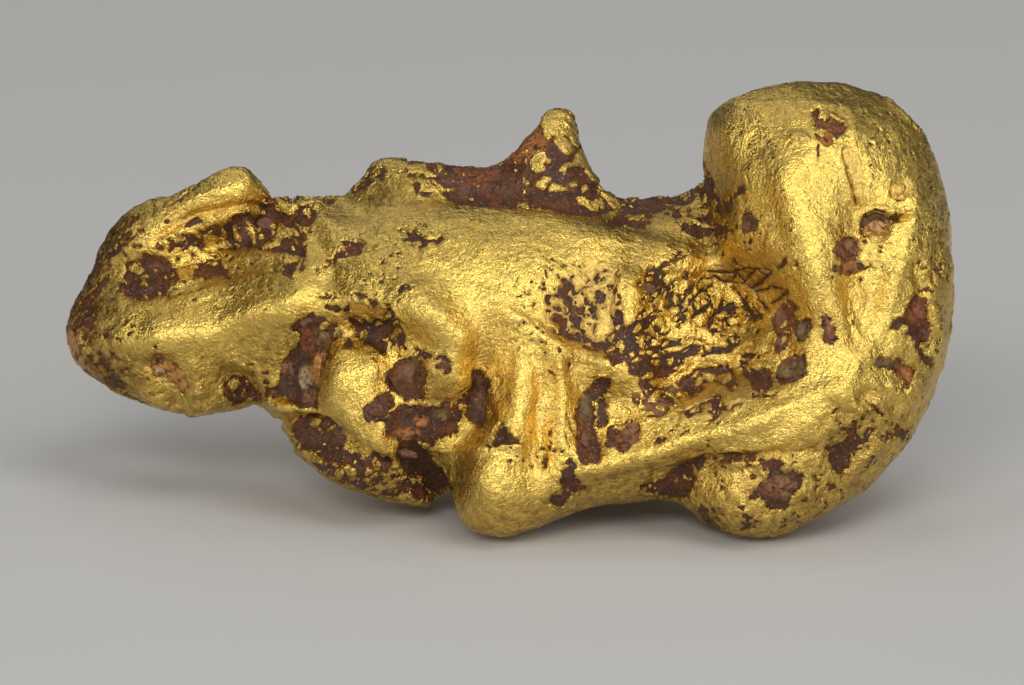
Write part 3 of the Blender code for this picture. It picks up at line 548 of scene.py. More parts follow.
        (-10.51, 5.19), (-10.95, 5.63), (-11.1, 5.02), (-11.68, 5.19), (-12.56, 5.63),
        (-12.99, 6.21), (-14.02, 6.36), (-14.6, 6.94)), 0.15, 0.12),
    "bulge_flakes": (((-14.4, 6.2), (-12.6, 5.4), (-10.6, 4.7), (-8.2, 4.6), (-6.2, 4.4),
        (-6.4, 3.3), (-9.6, 3.2), (-12.4, 4.5)), 0.08, 0.8),
    "cavity_right": (((-8.1, 15.9), (-7.5, 15.2), (-7.2, 14.2), (-6.9, 13.4), (-7.6, 13.1),
        (-8.3, 13.5), (-8.2, 14.6)), 0.12, 0.55),
    "lower_dark": (((-7.96, 5.99), (-7.45, 6.8), (-6.72, 6.87), (-5.84, 6.65), (-5.38, 5.92),
        (-5.41, 5.19), (-4.68, 4.9), (-4.06, 3.73), (-4.02, 2.83), (-5.41, 2.83), (-5.84, 3.15),
        (-5.77, 4.53), (-6.72, 4.29), (-7.3, 5.19)), 0.4, 0.05),
    "bulge_low": (((-7.23, 3.56), (-6.14, 4.2), (-5.84, 3.73), (-5.84, 3.27),
        (-6.72, 3.41)), 0.12, 0.1),
    "arc": (((2.35, 16.24), (2.62, 16.58), (2.89, 16.61), (3.19, 17.05), (3.52, 17.28),
        (3.49, 17.58), (3.69, 17.64), (3.96, 17.32), (4.16, 17.95), (4.24, 17.85), (4.04, 17.32),
        (4.26, 17.05), (4.3, 16.64), (4.09, 16.56), (3.96, 16.88), (3.79, 16.78), (3.83, 16.38),
        (4.3, 15.84), (4.46, 15.64), (4.3, 15.5), (4.56, 15.03), (4.71, 14.43), (4.97, 13.96),
        (4.83, 13.93), (4.5, 14.16), (4.3, 14.3), (4.23, 14.63), (4.09, 15.17), (3.93, 15.64),
        (3.76, 15.97), (3.56, 16.14), (3.22, 16.64), (2.95, 16.51), (2.89, 16.24), (2.62, 15.97),
        (2.45, 16.04)), 0.1, 0),
    "arc_foot": (((2.82, 15.97), (3.15, 15.84), (3.49, 15.91), (3.56, 15.77), (3.22, 15.54),
        (2.89, 15.7)), 0.08, 0),
    "stem_foot": (((2.79, 14.97), (2.95, 15.3), (3.36, 15.3), (3.79, 15.03), (3.83, 14.63),
        (3.79, 14.3), (3.93, 14.16), (4.3, 14.09), (4.63, 13.96), (4.7, 13.62), (4.5, 13.39),
        (4.09, 13.62), (3.76, 13.83), (3.36, 14.16), (3.09, 14.7)), 0.12, 0),
    "stem_end": (((4.7, 13.96), (5.37, 13.86), (5.77, 13.36), (5.91, 12.95), (5.37, 12.95),
        (4.9, 13.02), (4.77, 13.29), (5.37, 13.29), (5.23, 13.56), (4.83, 13.56)), 0.1, 0.1),
    "bar_right": (((6.78, 15.37), (7.18, 15.44), (7.52, 15.1), (7.58, 13.96), (7.45, 13.56),
        (6.98, 13.29), (6.71, 13.29), (6.44, 13.36), (6.31, 13.56), (6.44, 14.03), (6.78, 14.23),
        (6.71, 14.77)), 0.15, 0),
    "bar_foot": (((5.64, 13.56), (6.24, 13.56), (6.71, 13.22), (7.18, 13.02), (7.65, 12.62),
        (7.58, 12.28), (7.18, 12.01), (6.78, 11.95), (6.51, 12.42), (6.31, 12.75), (5.91, 12.95),
        (5.7, 13.29)), 0.15, 0.05),
    "stem": (((5.1, 15.77), (5.5, 15.91), (5.7, 15.7), (5.64, 15.03), (5.44, 15.1),
        (5.23, 15.44)), 0.1, 0),
    "box_speck_0": (((4.83, 16.44), (5.23, 16.38), (5.37, 16.17), (5.1, 15.97),
        (4.83, 16.17)), 0.07, 0),
    "box_speck_1": (((5.64, 16.51), (5.97, 16.58), (6.31, 16.38), (6.31, 16.24), (5.97, 15.97),
        (5.64, 16.11)), 0.07, 0),
    "box_speck_2": (((5.77, 16.71), (6.17, 16.64), (6.11, 16.44), (5.84, 16.44)), 0.07, 0),
    "box_speck_3": (((6.31, 16.91), (6.64, 16.98), (6.51, 16.78), (6.31, 16.81)), 0.07, 0),
    "box_speck_4": (((6.58, 16.78), (6.98, 17.25), (7.11, 17.05), (6.85, 16.64),
        (6.61, 16.58)), 0.07, 0),
    "box_speck_5": (((6.24, 17.25), (6.64, 17.32), (6.58, 17.05), (6.31, 17.05)), 0.07, 0),
    "box_speck_6": (((5.91, 15.84), (6.24, 15.91), (5.97, 15.64)), 0.07, 0),
    "box_speck_7": (((7.11, 16.51), (7.32, 16.71), (7.32, 16.38), (7.15, 16.34)), 0.07, 0),
    "box_speck_8": (((7.05, 16.04), (7.32, 16.24), (7.45, 16.04), (7.25, 15.84)), 0.07, 0),
    "box_speck_9": (((5.97, 18.39), (6.24, 18.56), (6.44, 18.26), (6.24, 18.02)), 0.07, 0),
    "box_speck_10": (((5.23, 17.62), (5.57, 17.85), (5.64, 17.75), (5.37, 17.58)), 0.07, 0),
    "box_speck_11": (((5.7, 17.72), (6.04, 17.65), (5.97, 17.55)), 0.07, 0),
    "box_speck_12": (((6.71, 17.85), (6.98, 18.09), (7.11, 17.92), (7.38, 17.85), (7.18, 17.68),
        (6.91, 17.79)), 0.07, 0),
    "box_speck_13": (((4.53, 18.66), (4.7, 18.52), (4.63, 18.19), (4.53, 18.26)), 0.07, 0),
    "box_speck_14": (((4.43, 15.7), (4.77, 15.84), (4.56, 15.44), (4.43, 15.5)), 0.07, 0),
    "crest": (((-4.5, 26.6), (-3.6, 26.4), (-2.8, 26.4), (-1.3, 26.5), (-0.9, 26.9), (-0.6, 27.5),
        (-0.1, 28), (0.7, 28.6), (1.9, 28.6), (2.17, 28.08), (2.39, 28.72), (2.84, 29.12),
        (3.62, 29.12), (4.3, 28.67), (4.74, 27.94), (5.19, 26.94), (5.53, 26.04), (5.77, 25.26),
        (5.81, 24.14), (6.09, 23.47), (6.64, 23.13), (7.32, 22.57), (7.76, 21.9), (9.33, 21.51),
        (8.88, 21.17), (7.99, 21.21), (7.09, 21.1), (6.53, 21.23), (6.2, 21.9), (5.08, 21.94),
        (3.85, 22), (3.2, 22.3), (2.06, 22.55), (0.6, 22.6), (-1.41, 22.5), (-3.5, 22.6),
        (-4.1, 23.2), (-4.3, 24.7)), 0.12, 0.03),
    "saddle_0": (((8.43, 22.96), (8.88, 23.3), (10.45, 23.24), (10.56, 23.02), (9.78, 22.8),
        (8.99, 22.55), (8.66, 22.68)), 0.09, 0),
    "saddle_1": (((9.11, 22.46), (9.55, 22.46), (9.55, 21.9), (9.22, 21.77)), 0.09, 0),
    "saddle_2": (((10.34, 22.35), (10.56, 22.46), (10.62, 22.01)), 0.09, 0),
    "saddle_3": (((11.01, 22.4), (11.4, 22.57), (11.45, 22.01), (11.12, 21.9)), 0.09, 0),
    "saddle_4": (((11.9, 22.46), (12.07, 22.13), (11.96, 21.9)), 0.09, 0),
    "saddle_5": (((7.6, 22.68), (7.99, 22.74), (8.12, 22.29), (7.65, 22.21)), 0.09, 0),
    "crown_root": (((13.02, 24.64), (13.64, 24.25), (13.71, 23.24), (13.41, 22.57), (13.41, 21.34),
        (12.91, 21.43), (12.55, 21.9), (13.13, 22.57), (13.04, 23.47), (12.68, 23.64),
        (12.13, 23.19), (12.24, 23.52), (12.68, 23.91)), 0.15, 0),
    "crown_foot_left": (((11.45, 21.32), (12.24, 21.59), (12.68, 21.23), (13.36, 21.12),
        (13.36, 20.78), (12.68, 20.59), (12.01, 20.78)), 0.12, 0.06),
    "crown_grain": (((13.36, 21.32), (14.03, 21.43), (14.53, 20.89), (14.14, 20.43),
        (13.47, 20.54)), 0.06, 0),
    "crown_thorns": (((13.69, 23.19), (14.03, 23.3), (14.25, 22.68), (14.47, 23.02),
        (15.03, 23.75), (15.48, 23.86), (15.37, 23.47), (14.7, 22.96), (14.59, 22.13),
        (14.03, 21.88), (13.69, 22.24)), 0.08, 0.12),
}
# Plates and scraps of gold on the rock, each an outline (right, up).
PLATES = (
    ((10.54, 17.99), (10.87, 17.99), (11.01, 17.82), (10.6, 17.32), (10.4, 17.45), (10.34, 17.65)),
    ((11.01, 17.72), (11.21, 17.85), (11.78, 17.45), (11.88, 17.28), (11.61, 16.98),
     (11.14, 16.74), (10.97, 16.98)),
    ((9.13, 17.85), (9.4, 17.89), (9.46, 17.68), (9.19, 17.62)),
    ((9.56, 16.14), (9.8, 16.51), (10.07, 16.61), (10.34, 16.44), (10.57, 16.11), (10.2, 15.91),
     (9.93, 15.7)),
    ((8.89, 16.21), (9.33, 16.28), (9.06, 15.91), (8.72, 15.74), (8.66, 15.94)),
    ((10.94, 16.44), (11.11, 16.58), (11.21, 16.17), (11.04, 16.07)),
    ((11.51, 16.07), (11.81, 16.24), (11.78, 16.01), (11.61, 15.83)),
    ((9.23, 15.91), (9.4, 15.94), (9.53, 15.64), (9.4, 15.5)),
    ((8.86, 15.5), (9.16, 15.44), (9.06, 15.27), (8.89, 15.2)),
    ((9.77, 15.03), (10.07, 15.3), (10.44, 15.4), (10.74, 15.84), (11.21, 15.81), (11.14, 15.57),
     (10.81, 15.2), (10.67, 14.9), (10.27, 14.43), (10, 14.5), (9.8, 14.7)),
    ((11.81, 15.64), (12.05, 15.91), (12.32, 15.37), (12.11, 15.03), (11.88, 14.7),
     (11.68, 14.73)),
    ((12.35, 16.04), (12.58, 16.24), (12.72, 16.11), (12.68, 15.7), (12.48, 15.64)),
    ((12.35, 16.38), (12.55, 16.58), (12.58, 16.38), (12.42, 16.28)),
    ((12.75, 16.71), (13.02, 16.88), (13.29, 16.31), (13.22, 16.11), (12.82, 15.91),
     (12.72, 16.31)),
    ((11.21, 14.4), (11.61, 14.73), (12.08, 14.97), (13.02, 15.47), (13.26, 15.74), (13.05, 14.97),
     (12.75, 14.5), (13.15, 14.3), (13.46, 13.83), (13.42, 13.42), (13.22, 13.46), (12.75, 13.76),
     (12.15, 13.83), (11.61, 13.39), (11.34, 13.49), (11.61, 13.72), (12.01, 14.09),
     (11.07, 13.81), (10.37, 13.83), (10.81, 14.43)),
    ((9.33, 14.56), (9.53, 14.5), (9.53, 13.96), (9.3, 14.09), (8.99, 14.26)),
    ((9.73, 14.16), (10.03, 13.83), (10, 13.69), (9.77, 13.83)),
    ((8.39, 13.86), (8.86, 13.96), (8.89, 13.69), (8.66, 13.56)),
    ((8.66, 13.42), (8.93, 13.42), (8.86, 13.15), (8.69, 13.22)),
    ((9.53, 13.76), (10, 13.56), (9.93, 13.39), (9.53, 13.39)),
    ((10.34, 12.95), (10.81, 13.22), (11.61, 13.39), (12.15, 13.66), (12.01, 13.36),
     (11.48, 13.15), (11.07, 12.89), (10.54, 12.81)),
    ((13.42, 16.44), (13.89, 17.11), (14.23, 17.52), (14.56, 17.18), (15.17, 16.38), (15.3, 16.04),
     (14.97, 16.17), (14.23, 16.44), (13.93, 16.28), (13.79, 15.64), (13.52, 16.17)),
    ((13.52, 17.65), (13.69, 17.72), (14.06, 17.48), (13.69, 17.08), (13.56, 16.85)),
    ((11.95, 16.58), (12.42, 17.18), (12.95, 17.58), (13.52, 17.65), (13.39, 17.35),
     (12.55, 17.05), (12.15, 16.64), (11.95, 16.38)),
    ((13.22, 17.05), (13.49, 17.11), (13.42, 16.71), (13.29, 16.78)),
    ((13.62, 14.97), (13.69, 15.3), (14.23, 15.64), (14.46, 15.5), (14.3, 15.23), (13.83, 15.03)),
    ((15.13, 15.77), (15.27, 15.91), (15.5, 15.64), (15.47, 15.1), (15.23, 14.83), (15.1, 15.03)),
    ((13.83, 14.77), (14.06, 14.9), (14.03, 14.43), (13.83, 14.36)),
    ((13.46, 14.7), (13.69, 14.7), (13.62, 14.46), (13.42, 14.5)),
    ((13.83, 14.09), (14.3, 14.36), (15.03, 14.7), (15.13, 14.56), (14.83, 14.23), (14.3, 14.09),
     (13.89, 13.93)),
    ((14.09, 13.79), (14.56, 14.09), (14.3, 13.72)),
    ((15.1, 13.96), (15.23, 14.36), (15.54, 14.5), (15.57, 14.23), (15.3, 13.89)),
    ((13.62, 13.76), (13.79, 13.49), (13.62, 13.42)),
    ((14.5, 13.76), (14.97, 13.59), (14.7, 13.52)),
    ((12.95, 13.19), (13.29, 13.19), (13.22, 12.95), (12.99, 12.95)),
    ((12.55, 12.89), (12.75, 13.09), (12.79, 12.75), (12.62, 12.68)),
    ((9.46, 12.28), (9.93, 12.32), (9.87, 12.01), (9.53, 12.05)),
    ((10.5, 12.28), (10.87, 12.35), (10.67, 11.95), (10.5, 12.08)),
    ((9.19, 12.89), (9.5, 12.89), (9.4, 12.72), (9.19, 12.75)),
    ((11.81, 12.42), (12.55, 12.42), (13.22, 12.62), (13.76, 12.55), (14.09, 12.32),
     (13.62, 11.95), (12.95, 11.88), (12.28, 11.71), (11.88, 11.68)),
    ((9.5, 12.32), (10, 12.32), (9.83, 12.03), (9.54, 12.07)),
    ((10.5, 12.11), (10.84, 12.45), (10.76, 12.11), (10.55, 11.95)),
    ((10.76, 9.85), (10.96, 9.93), (11.11, 9.72), (10.92, 9.47)),
    ((9.58, 9.35), (10.17, 9.35), (10.17, 9.14), (9.66, 9.18)),
    ((8.78, 8.93), (9.33, 8.93), (9.5, 8.72), (8.99, 8.76)),
    ((12.6, 9.18), (13.19, 9.35), (13.19, 9.09), (12.68, 9.08)),
    ((6.6, 6.45), (6.98, 6.41), (7.19, 5.91), (6.73, 5.74), (6.52, 6.07)),
    ((2.23, 27.94), (2.28, 28.56), (2.73, 29.06), (3.51, 29.15), (4.3, 28.67), (4.72, 27.89),
     (5.13, 26.88), (4.85, 26.77), (4.3, 27.05), (4.3, 27.44), (3.74, 27.49), (3.18, 27.33),
     (2.84, 27.49), (2.51, 27.16), (2.28, 27.27)),
    ((2.84, 27.16), (3.29, 27.33), (3.85, 27.27), (4.41, 26.94), (4.3, 26.38), (3.85, 26.15),
     (3.4, 26.38), (3.18, 26.77)),
    ((4.63, 26.38), (5.13, 26.94), (5.53, 26.04), (5.77, 25.26), (5.81, 24.25), (5.41, 24.47),
     (5.3, 24.81), (5.08, 24.98), (5.19, 25.26), (4.85, 25.43), (4.3, 25.48), (3.51, 24.98),
     (3.23, 25.03), (3.51, 25.48), (4.3, 25.65)),
    ((1.22, 25.93), (1.83, 26.49), (2.28, 26.26), (2.39, 25.82), (2.17, 25.48), (2.28, 25.15),
     (1.72, 24.92), (1.28, 25.15)),
    ((0.77, 25.87), (1, 25.87), (0.94, 25.68)),
    ((2.23, 25.93), (2.67, 25.82), (2.51, 25.59)),
    ((1.5, 24.25), (1.95, 24.36), (2.17, 24.64), (2.67, 24.59), (2.17, 23.86), (1.72, 23.97)),
    ((2.56, 23.86), (2.95, 24.14), (3.74, 23.97), (3.85, 23.84), (3.29, 23.8), (2.62, 23.67)),
    ((0.83, 24.36), (1.05, 24.5), (1.19, 24.14), (0.94, 24.06)),
    ((3.96, 24.25), (4.3, 24.33), (4.43, 24.03), (4.07, 24.06)),
    ((4.85, 24.03), (5.19, 24.14), (5.21, 23.8), (4.85, 23.61)),
    ((4.41, 23.13), (4.85, 23.27), (5.75, 22.82), (5.95, 22.44), (5.53, 22.55), (5.08, 22.77),
     (4.63, 22.89)),
    ((6.09, 23.47), (6.64, 23.41), (7.32, 23.02), (7.48, 22.57), (6.98, 22.01), (6.42, 21.77),
     (6.09, 22.01), (7.2, 22.46), (6.64, 22.8)),
)
# Gold that runs through the rock: line (right, up) and half its width in mm.
STREAKS = (
    (((-8.1, 25.4), (-6.6, 25.4), (-5.3, 24.9)), 0.12),
    (((-6.1, 24.5), (-5.3, 24.4), (-4.5, 23.8), (-3.8, 23.7)), 0.1),
    (((-15.6, 21.4), (-15.8, 20.5), (-16.6, 20.1)), 0.16),
    (((-18.6, 21), (-18.5, 20.5)), 0.18),
    (((-15.1, 21.1), (-14.6, 21.1)), 0.12),
    (((6.14, 8.17), (6.18, 7.08), (6.18, 5.74)), 0.059),
    (((5.7, 7.71), (5.89, 6.91)), 0.109),
    (((5.51, 9.35), (5.81, 9.18), (5.64, 8.76)), 0.101),
    (((-10.95, 14.67), (-10.37, 14.06)), 0.066),
    (((-10.44, 15), (-9.93, 14.65)), 0.058),
    (((-8.18, 12.46), (-8.03, 13.36)), 0.066),
    (((-7.3, 13.22), (-7.13, 12.56)), 0.088),
    (((-3.15, 8.26), (-2.93, 7.53), (-2.34, 6.8)), 0.16),
    (((-2.63, 7.82), (-2.27, 7.09)), 0.102),
    (((-1.69, 8.11), (-1.47, 6.8)), 0.117),
    (((-3.8, 7.38), (-3.95, 6.65)), 0.088),
)
# Fine cracks in the gold: line (right, up) and half their width in mm.
CRACKS = (
    (((24, 6), (23.9, 5.6), (23.8, 5)), 0.08),
    (((21.3, 8.7), (21.5, 8.9)), 0.07),
    (((21.8, 7.7), (22.1, 7.7)), 0.07),
    (((20.3, 26.6), (20.3, 25.8)), 0.04),
    (((22.8, 15.1), (22.7, 14.7)), 0.07),
    (((28, 23.7), (28, 23.9)), 0.08),
    (((2.5, 11.5), (2.9, 11.3)), 0.05),
    (((3.7, 8.6), (4, 8.1), (4.1, 7.7)), 0.05),
    (((13.22, 18.22), (13.62, 18.15), (14.3, 18.11), (14.83, 18.15), (15.23, 18.29),
      (15.91, 18.36), (16.78, 18.36), (17.25, 18.22)), 0.05),
    (((14.9, 18.26), (14.9, 17.65), (14.83, 17.45)), 0.05),
    (((13.62, 17.85), (14.23, 17.58), (14.9, 17.45), (15.17, 17.35)), 0.05),
    (((15, 18.2), (15.5, 17.6), (16.2, 16.9), (16.6, 16.3), (17, 15.6)), 0.05),
    (((15.4, 17.3), (15.9, 17.9), (16.2, 18.3)), 0.04),
    (((16.3, 16.9), (17.2, 17.1), (17.9, 17)), 0.045),
    (((17.18, 18.05), (16.71, 17.58), (16.17, 17.11)), 0.074),
    (((15.44, 16.31), (15.77, 15.77), (16.17, 15.37), (16.58, 15.17)), 0.101),
    (((16.04, 16.04), (16.31, 15.64), (16.64, 15.23)), 0.04),
    (((17.25, 16.11), (17.72, 16.31), (18.19, 16.78), (18.32, 16.85)), 0.074),
    (((18.26, 16.85), (18.26, 16.17), (18.66, 15.7)), 0.128),
    (((17.72, 18.39), (17.92, 18.59), (18.12, 18.93)), 0.081),
    (((14.83, 18.99), (14.97, 18.59)), 0.054),
    (((11.81, 18.12), (11.74, 17.75)), 0.054),
    (((16.38, 18.19), (16.85, 17.99)), 0.067),
    (((11.34, 19.6), (11.07, 19.26)), 0.04),
    (((13.76, 15.64), (13.22, 15.03)), 0.054),
    (((13.15, 16.51), (13.56, 15.91), (13.76, 15.64)), 0.047),
    (((12.08, 15.03), (12.55, 15.57), (13.22, 15.91)), 0.074),
    (((4.97, 17.38), (5.23, 17.62)), 0.027),
    (((5.64, 17.79), (5.77, 18.09)), 0.04),
    (((4.3, 16.64), (4.97, 17.11)), 0.027),
    (((5.64, 14.77), (5.5, 14.09)), 0.034),
    (((2.35, 18.26), (2.38, 17.85)), 0.04),
    (((21.9, 26.3), (22, 25.8), (22.3, 24.7), (22.6, 23.6), (22.9, 22.5)), 0.02),
    (((25.2, 23.6), (25.2, 23.2), (25.6, 22.9), (26.1, 22.9)), 0.03),
    (((23.3, 21.3), (23.5, 22), (24.1, 22.3), (24.6, 22.1)), 0.06),
    (((-13.9, 20), (-13.8, 19.2), (-14, 18.3)), 0.07),
)
CRACK_DEPTH = 0.10  # mm
CRACK_SPREAD = 1.1  # how much wider the water has worn them
CRACK_CHANGE = 4.0  # per mm of raggedness, how a crack widens and closes
MARK_MATT = 0.7  # how matt the gold is inside a crisp mark
PLATE_TILT = 0.16  # how steeply a plate leans out of the skin
PLATE_RAMP = 0.1  # mm, over which a plate's tilt sets in
PLATE_RAGGED = 0.5  # of the raggedness of the rock's own outlines
PLATE_SPREAD = 0.07  # how far the plates reach past their outlines, mm
PLATE_GAP = 0.08  # mm
# Patches where small plates fill the rest, and how much of it.
BOXWORK = (("pit", 0.45), ("arch", 0.5), ("ring", 0.5), ("post_mesh", 0.5), ("cavity", 0.35))
BOX_SIZE = 0.55  # mm
BOX_TURN = np.array(((0.78, 0.0, -1.15), (0.0, 0.3, 0.0), (0.62, 0.0, 1.45)))  # per mm
# Where gold fills the rock as a lattice: an outline (right, up), with thin straight gaps of rock.
LATTICE = ((8.9, 15.2), (9, 16.6), (9.9, 17.6), (11, 19), (13, 18.4), (17, 18.4), (17.2, 16.8),
    (16.4, 14.6), (15.8, 13.7), (14.2, 13.2), (12.6, 13.2), (11, 13.6), (9.6, 13.9))
LATTICE_LINES = 200  # how many gaps
LATTICE_TURN = (0.85, 0.45)  # radians, middle and spread
LATTICE_CROSS = 0.4  # share of the gaps that run in any other direction
LATTICE_LENGTH = (0.6, 2.0)  # mm
LATTICE_GAP = (0.045, 0.095)  # half a gap's width, mm
LATTICE_FACET = 0.9  # mm
LATTICE_TILT = 0.13  # how steeply the facets lean
LATTICE_RAMP = 0.3  # mm, over which the facets' tilt sets in
# Where the gold is matt, as it was cast against the rock: outlines (right, up).
MATT = (
    ((12.6, 19.6), (14, 19.2), (17.6, 19.2), (18.4, 16.4), (17.2, 15.4), (15.8, 16.6),
     (14.4, 18.2)),
    ((11, 9), (12, 10.6), (15.6, 11.6), (17, 10.8), (14.6, 8.8), (12.4, 8.2)),
    ((2.2, 15.4), (3.6, 18), (6.6, 18.8), (7.4, 15), (6.2, 12.4), (3.8, 13.4)),
    ((1.4, 24.4), (2.6, 26.8), (4.2, 27.6), (5.6, 25.4), (4.4, 23.6)),
)
# Where the gold is stained brown by the iron: middle (right, up), half width and height in mm,
# and how strongly.
STAINS = (
    ((-28.9, 17.2), (3.2, 5.8), 1.0),
    ((-27.4, 20.4), (2.6, 2.0), 0.9),
    ((-27.2, 11.4), (3.4, 2.2), 0.95),
    ((-22.9, 11.0), (1.6, 1.3), 0.55),
    ((12.6, 5.4), (2.8, 0.6), 0.8),
    ((15.4, 5.9), (2.4, 0.45), 0.8),
    ((17.4, 3.8), (2.8, 1.9), 0.55),
    ((13.0, 1.6), (1.4, 1.0), 0.8),
    ((21.9, 6.0), (1.6, 1.9), 0.5),
    ((25.6, 7.6), (2.0, 1.6), 0.45),
    ((27.4, 11.2), (1.2, 1.8), 0.4),
    ((20.6, 2.6), (3.2, 1.2), 0.45),
    ((-24.6, 17.6), (3.2, 1.7), 0.45),
    ((-19.0, 17.8), (3.2, 0.8), 0.45),
    ((-17.6, 19.9), (2.6, 0.8), 0.5),
    ((-29.4, 13.6), (1.0, 1.4), 0.6),
    ((-23.0, 22.6), (2.6, 1.2), 0.35),
    ((-16.2, 18.4), (2.6, 1.6), 0.4),
    ((-23.2, 11.6), (1.6, 1.1), 0.75),
    ((-17.9, 10.0), (2.2, 1.2), 0.6),
    ((-12.5, 11.6), (0.9, 1.2), 0.85),
    ((-11.2, 7.4), (2.4, 1.0), 0.5),
    ((-8.4, 23.6), (3.2, 1.4), 0.5),
    ((8.8, 22.2), (5.0, 1.2), 0.55),
    ((14.6, 22.6), (1.8, 2.4), 0.5),
    ((4.4, 12.4), (2.6, 0.7), 0.4),
    ((14.6, 10.6), (4.6, 1.3), 0.4),
    ((16.6, 13.6), (2.6, 1.0), 0.4),
    ((14.6, 5.2), (4.8, 0.7), 0.5),
    ((24.3, 21.0), (0.9, 0.6), 0.8),
    ((28.6, 17.0), (1.4, 5.5), 0.35),
    ((22.6, 8.2), (2.0, 2.4), 0.3),
)
RAGGED = ((0.9, 0.20), (0.35, 0.12), (0.15, 0.06))  # waves of the outlines: length, height, mm
JAG = 0.45  # size of the crystals that the outlines of the rock follow, mm
JAG_PULL = 0.45  # how closely they follow them
THROUGH = ("crest", "ridge_red", "ridge_top", "saddle", "hook_rim")  # these go right through
FLECK_REACH = 0.05  # mm, how far outside a patch its flecks are worked out
FLECKS = ((0.85, 0.66), (0.30, 0.30))  # size in mm, and share of a patch's gold in them

# Small specks of rock are held in the skin in places: middle (right, up), half width and height,
# size of the specks in mm, and the share of the skin that holds them.
SPECKS = (
    ((17.6, 3.2), (6.5, 3.4), 0.42, 0.10),
    ((24.6, 7.0), (3.6, 3.6), 0.38, 0.12),
    ((27.8, 17.4), (1.8, 6.0), 0.40, 0.10),
    ((25.6, 27.6), (3.0, 2.6), 0.34, 0.06),
    ((-26.8, 12.6), (3.4, 3.2), 0.45, 0.14),
    ((-24.6, 21.2), (4.4, 2.2), 0.36, 0.08),
    ((-20.6, 18.6), (5.0, 2.2), 0.34, 0.09),
    ((-16.2, 10.6), (2.6, 2.0), 0.34, 0.08),
    ((-9.0, 4.6), (5.0, 1.6), 0.36, 0.12),
    ((1.6, 6.4), (4.0, 1.6), 0.34, 0.08),
    ((10.6, 7.6), (4.6, 1.5), 0.30, 0.035),
    ((-8.6, 18.4), (4.6, 2.4), 0.30, 0.05),
    ((3.6, 15.6), (3.8, 4.0), 0.28, 0.10),
    ((14.6, 20.6), (4.4, 2.0), 0.32, 0.10),
    ((23.0, 19.4), (3.0, 2.6), 0.32, 0.07),
)
SPECK_DEPTH = 0.05  # mm
SPECK_EDGE = 0.02  # mm, how much smaller a speck is than its cell
# Away from the face, rock shows in patches that water has opened in the same way.
BACK_PATCH = 6.0  # length, mm
BACK_LEVEL = 0.36  # of the ripple, above which rock shows
BACK_STEEPNESS = 3  # how much faster than a straight ramp the ripple runs
BACK_DEPTH = 0.14  # mm
BACK_GOLD = 0.4  # share of gold left in the patches

apply_modifiers(
    gold,
    ("SUBSURF", {"levels": 1}),
    ("SMOOTH", {"factor": SMOOTHING, "iterations": ROUNDING_PASSES}),
)
apply_modifiers(
    gold,
    ("REMESH", {"mode": "VOXEL", "voxel_size": VOXEL * MM}),
    ("SMOOTH", {"factor": SMOOTHING, "iterations": SMOOTHING_PASSES}),
)


def around(line, reach=REACH):
    """Which points a mark on the face, given by (right, up) points, can reach."""
    xs, ys = zip(*line)
    near = (across > min(xs) - reach) & (across < max(xs) + reach)
    near &= (up > min(ys) - reach) & (up < max(ys) + reach)
    return np.nonzero(near & (facing > 0))[0]


def near_line(line, reach=REACH):
    """The points that a line on the face can reach, and their distance to it."""
    near = around(line, reach)
    return near, line_distance(across[near], up[near], line)


def near_outline(outline, reach=REACH):
    """The points that an outline on the face can reach, and their distance, negative inside."""
    near = around(outline, reach)
    return near, outline_distance(across[near], up[near], outline)


def off_middle(across, up, middle, sizes):
    """How far from a middle (right, up), counted in half widths and heights."""
    return np.hypot((across - middle[0]) / sizes[0], (up - middle[1]) / sizes[1])


def speck_edges():
    """For each place with specks, its points and their distance to a speck's edge."""
    for middle, sizes, size, share in SPECKS:
        corners = [tuple(m + side * half for m, half in zip(middle, sizes)) for side in (-1, 1)]
        near = around(corners, 0)
        fade = ease(FADE_FROM - off_middle(across[near], up[near], middle, sizes))
        near, fade = near[fade > 0], fade[fade > 0]
        yield near, SPECK_EDGE + size / 4 * (1 - fade) - flecks(points[near], size, share, 7.7)


def back_edges(points):
    """Rough distance to the rock that shows at the back, negative inside it."""
    return (BACK_LEVEL - ripple(points, BACK_PATCH, 2, 88.0)) * BACK_PATCH / BACK_STEEPNESS


def mound(points, middle, sizes):
    """1 at a middle (right, up) on the face, fading out round it."""
    off = [((points[:, axis] - m) / size) ** 2 for axis, m, size in zip((0, 2), middle, sizes)]
    return np.exp(-off[0] - off[1])


points = read_points(gold.data)
for middle, sizes, lift in LIFTS:
    points[:, 2] += lift * mound(points, middle, sizes)
low, high = (np.array(corner) for corner in cad_box)


def set_points(mesh, points):
    """Puts points of the face frame in a mesh, within the solid's own box."""
    mesh.vertices.foreach_set("co", np.clip(to_world(points), low, high).ravel())
    mesh.update()


set_points(gold.data, points)

# The skin is divided finely near the rock, and again where the marks are finest.
crack_lines = [line for line, _ in CRACKS]
finest = [PATCHES["pit"][0]] + crack_lines
finest += [outline for name, (outline, _, _) in PATCHES.items() if name.startswith("box_speck")]
finest += [mark for mark, _, _ in MARKS]
for outlines, reach in (
    ([outline for outline, _, _ in PATCHES.values()] + crack_lines, FINE_REACH),
    (finest, FINEST_REACH),
):
    points = read_points(gold.data)
    facing = FACING - read_normals(gold.data)[:, 1]
    across, up = points[:, 0], points[:, 2]
    wanted = np.zeros(len(points), dtype=bool)
    for outline in outlines:
        near, edge = near_outline(outline)
        wanted[near] |= edge < reach
    if reach == FINE_REACH:
        for near, edge in speck_edges():
            wanted[near] |= np.abs(edge) < reach / 4
        turned_away = np.nonzero(facing < 0)[0]
        wanted[turned_away] |= np.abs(back_edges(points[turned_away])) < reach / 2
    divide(gold, wanted)

